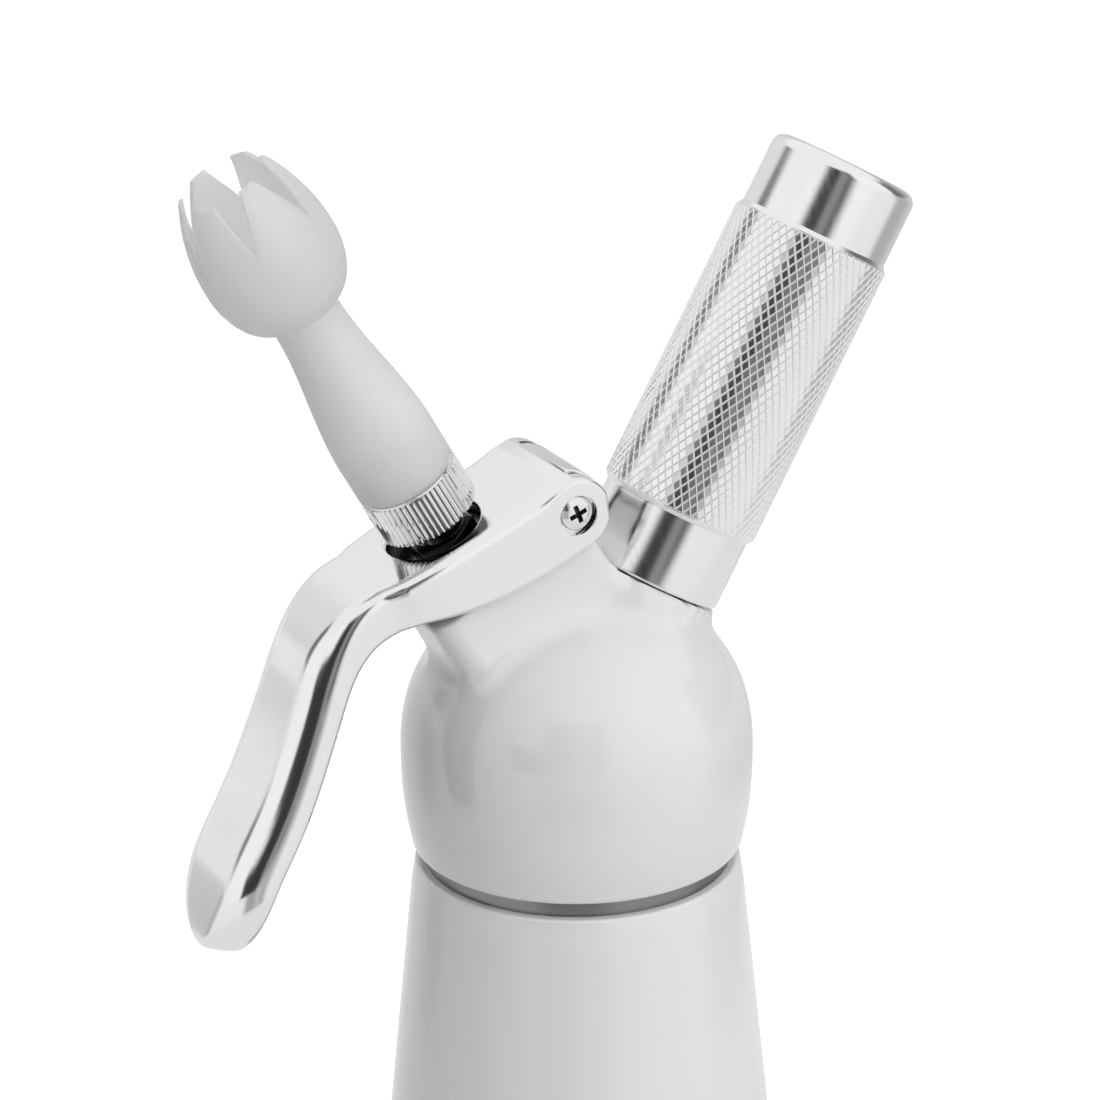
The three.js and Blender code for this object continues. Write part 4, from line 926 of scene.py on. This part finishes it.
def photo_camera():
    azimuth, elevation, roll = (math.radians(angle) for angle in CAMERA_ANGLES)
    back = Vector((math.sin(azimuth) * math.cos(elevation), -math.cos(azimuth) * math.cos(elevation),
                   math.sin(elevation)))
    across = Vector((math.cos(azimuth), math.sin(azimuth), 0))
    up = back.cross(across)
    right = math.cos(roll) * across + math.sin(roll) * up
    above = math.cos(roll) * up - math.sin(roll) * across
    spot = Vector((0, 0, SEAM)) + CAMERA_DISTANCE * back + CAMERA_ACROSS * across + CAMERA_UP * up
    camera = bpy.data.objects.new("camera", bpy.data.cameras.new("camera"))
    bpy.context.scene.collection.objects.link(camera)
    camera.data.sensor_width = SENSOR_WIDTH
    camera.data.lens = SENSOR_WIDTH * FOCAL_LENGTH / PICTURE_WIDTH
    camera.data.clip_start, camera.data.clip_end = 0.01, 50
    turn = Matrix((right, above, back)).transposed().to_4x4()
    camera.matrix_world = Matrix.Translation(spot * MILLIMETRE) @ turn
    bpy.context.scene.camera = camera


# The studio round the object as mirrors show it: bright panels and darker gaps, by the angle from the front
PANELS = ((-180, 0.80), (-150, 0.80), (-143, 0.20), (-131, 0.20), (-122, 1.0), (-56, 1.0), (-46, 0.05),
          (-32, 0.04), (-26, 0.3), (-20, 0.25), (-13, 0.04), (-2, 1.0), (60, 1.0), (70, 0.15), (92, 0.2),
          (110, 0.45), (180, 0.80))
WHITE, BLACK = (1.0, 1.0, 1.0), (0.0, 0.0, 0.0)
FLOOR_GREY, OVERHEAD, SLOT_GREY = (0.5, 0.5, 0.5), (0.95, 0.95, 0.95), (0.04, 0.04, 0.04)
FLOOR_GLOW, TABLE_GLOW, TABLE_EDGE, AMBIENT, LIGHT_FOCUS = 0.7, 0.8, (0.34, 0.46), 0.21, 4.4
# Two soft lights as (azimuth, strength), both at the same elevation
LIGHTS, LIGHT_ELEVATION = ((15, 2.15), (175, 1.6)), math.radians(35)


def studio_panels(look, across, ahead):
    angle = look.node("Math", {"operation": "ARCTAN2"}, across, ahead * -1.0)
    stops = [((degrees + 180) / 360, shade) for degrees, shade in PANELS]
    return look.node("ValToRGB", {"stops": stops}, angle / (2 * math.pi) + 0.5)


# Pale floor: it shows white with a soft shadow, and mirrors see a bright table and the panels beyond it
def make_floor():
    plane = bmesh.new()
    bmesh.ops.create_grid(plane, x_segments=8, y_segments=8, size=3.0)
    floor = as_object("floor", plane)
    look = Look("floor", FLOOR_GREY, 0.8, Emission_Strength=1.0)
    paths = look.node("LightPath")
    seen = paths.maths("MAXIMUM", look.output(paths, "Is Transmission Ray"))
    mirrored = look.output(paths, "Is Glossy Ray")
    across = look.node("SeparateXYZ", None, look.place())
    ahead = look.output(across, "Y")
    distance = (across * across + ahead * ahead).maths("POWER", 0.5)
    beyond = look.step(distance, *TABLE_EDGE) * mirrored
    shown = (1 - beyond) * TABLE_GLOW + beyond * (studio_panels(look, across, ahead) * 0.5 + 0.35)
    look.set(Base_Color=look.between(mirrored, FLOOR_GREY, BLACK))
    glow = seen * FLOOR_GLOW + mirrored * shown
    look.set(Emission_Color=look.between(glow, BLACK, WHITE))
    paint(floor, look)


# The world lights the object softly, shows white behind it, and shows the panels to mirrored rays
def make_world():
    world = bpy.data.worlds.new("studio")
    bpy.context.scene.world = world
    world.use_nodes = True
    sky = Look("sky", None, None, tree=world.node_tree)
    across = sky.node("SeparateXYZ", None, sky.node("TexCoord", out=0))
    ahead, up = (sky.output(across, axis) for axis in "YZ")

    # A bright panel hangs overhead, and another lies low behind the object's left
    overhead = sky.step(up - sky.step(ahead, -0.1, -0.4, 0.0, 0.1), 0.42, 0.56)
    low_left = (sky.step(up, 0.16, 0.06) * sky.step(across, -0.1, -0.35)
                * sky.step(ahead, 0.0, 0.2, 0.0, 0.85))
    mirrored = sky.between(overhead.maths("MAXIMUM", low_left), studio_panels(sky, across, ahead), OVERHEAD)
    # The dark slot that the handle mirrors
    slot = (sky.step(up, 0.27, 0.19) * sky.step(across, -0.96, -0.9) * sky.step(across, -0.5, -0.6)
            * sky.step(ahead, -0.15, -0.3))
    mirrored = sky.between(slot, mirrored, SLOT_GREY)

    glow = AMBIENT
    for degrees, strength in LIGHTS:
        azimuth = math.radians(degrees)
        level = (across * math.sin(azimuth) - ahead * math.cos(azimuth)) * math.cos(LIGHT_ELEVATION)
        facing = level + up * math.sin(LIGHT_ELEVATION)
        glow = facing.maths("MAXIMUM", 0.0).maths("POWER", LIGHT_FOCUS) * strength + glow

    paths = sky.node("LightPath")
    shade = sky.between(sky.output(paths, "Is Glossy Ray"), glow, mirrored)
    seen = paths.maths("MAXIMUM", sky.output(paths, "Is Transmission Ray"))
    background = world.node_tree.nodes["Background"]
    world.node_tree.links.new(sky.between(seen, shade, WHITE).socket, background.inputs[0])
    background.inputs[1].default_value = 1.0


bpy.context.scene.view_settings.view_transform = "Standard"
photo_camera()
make_floor()
make_world()
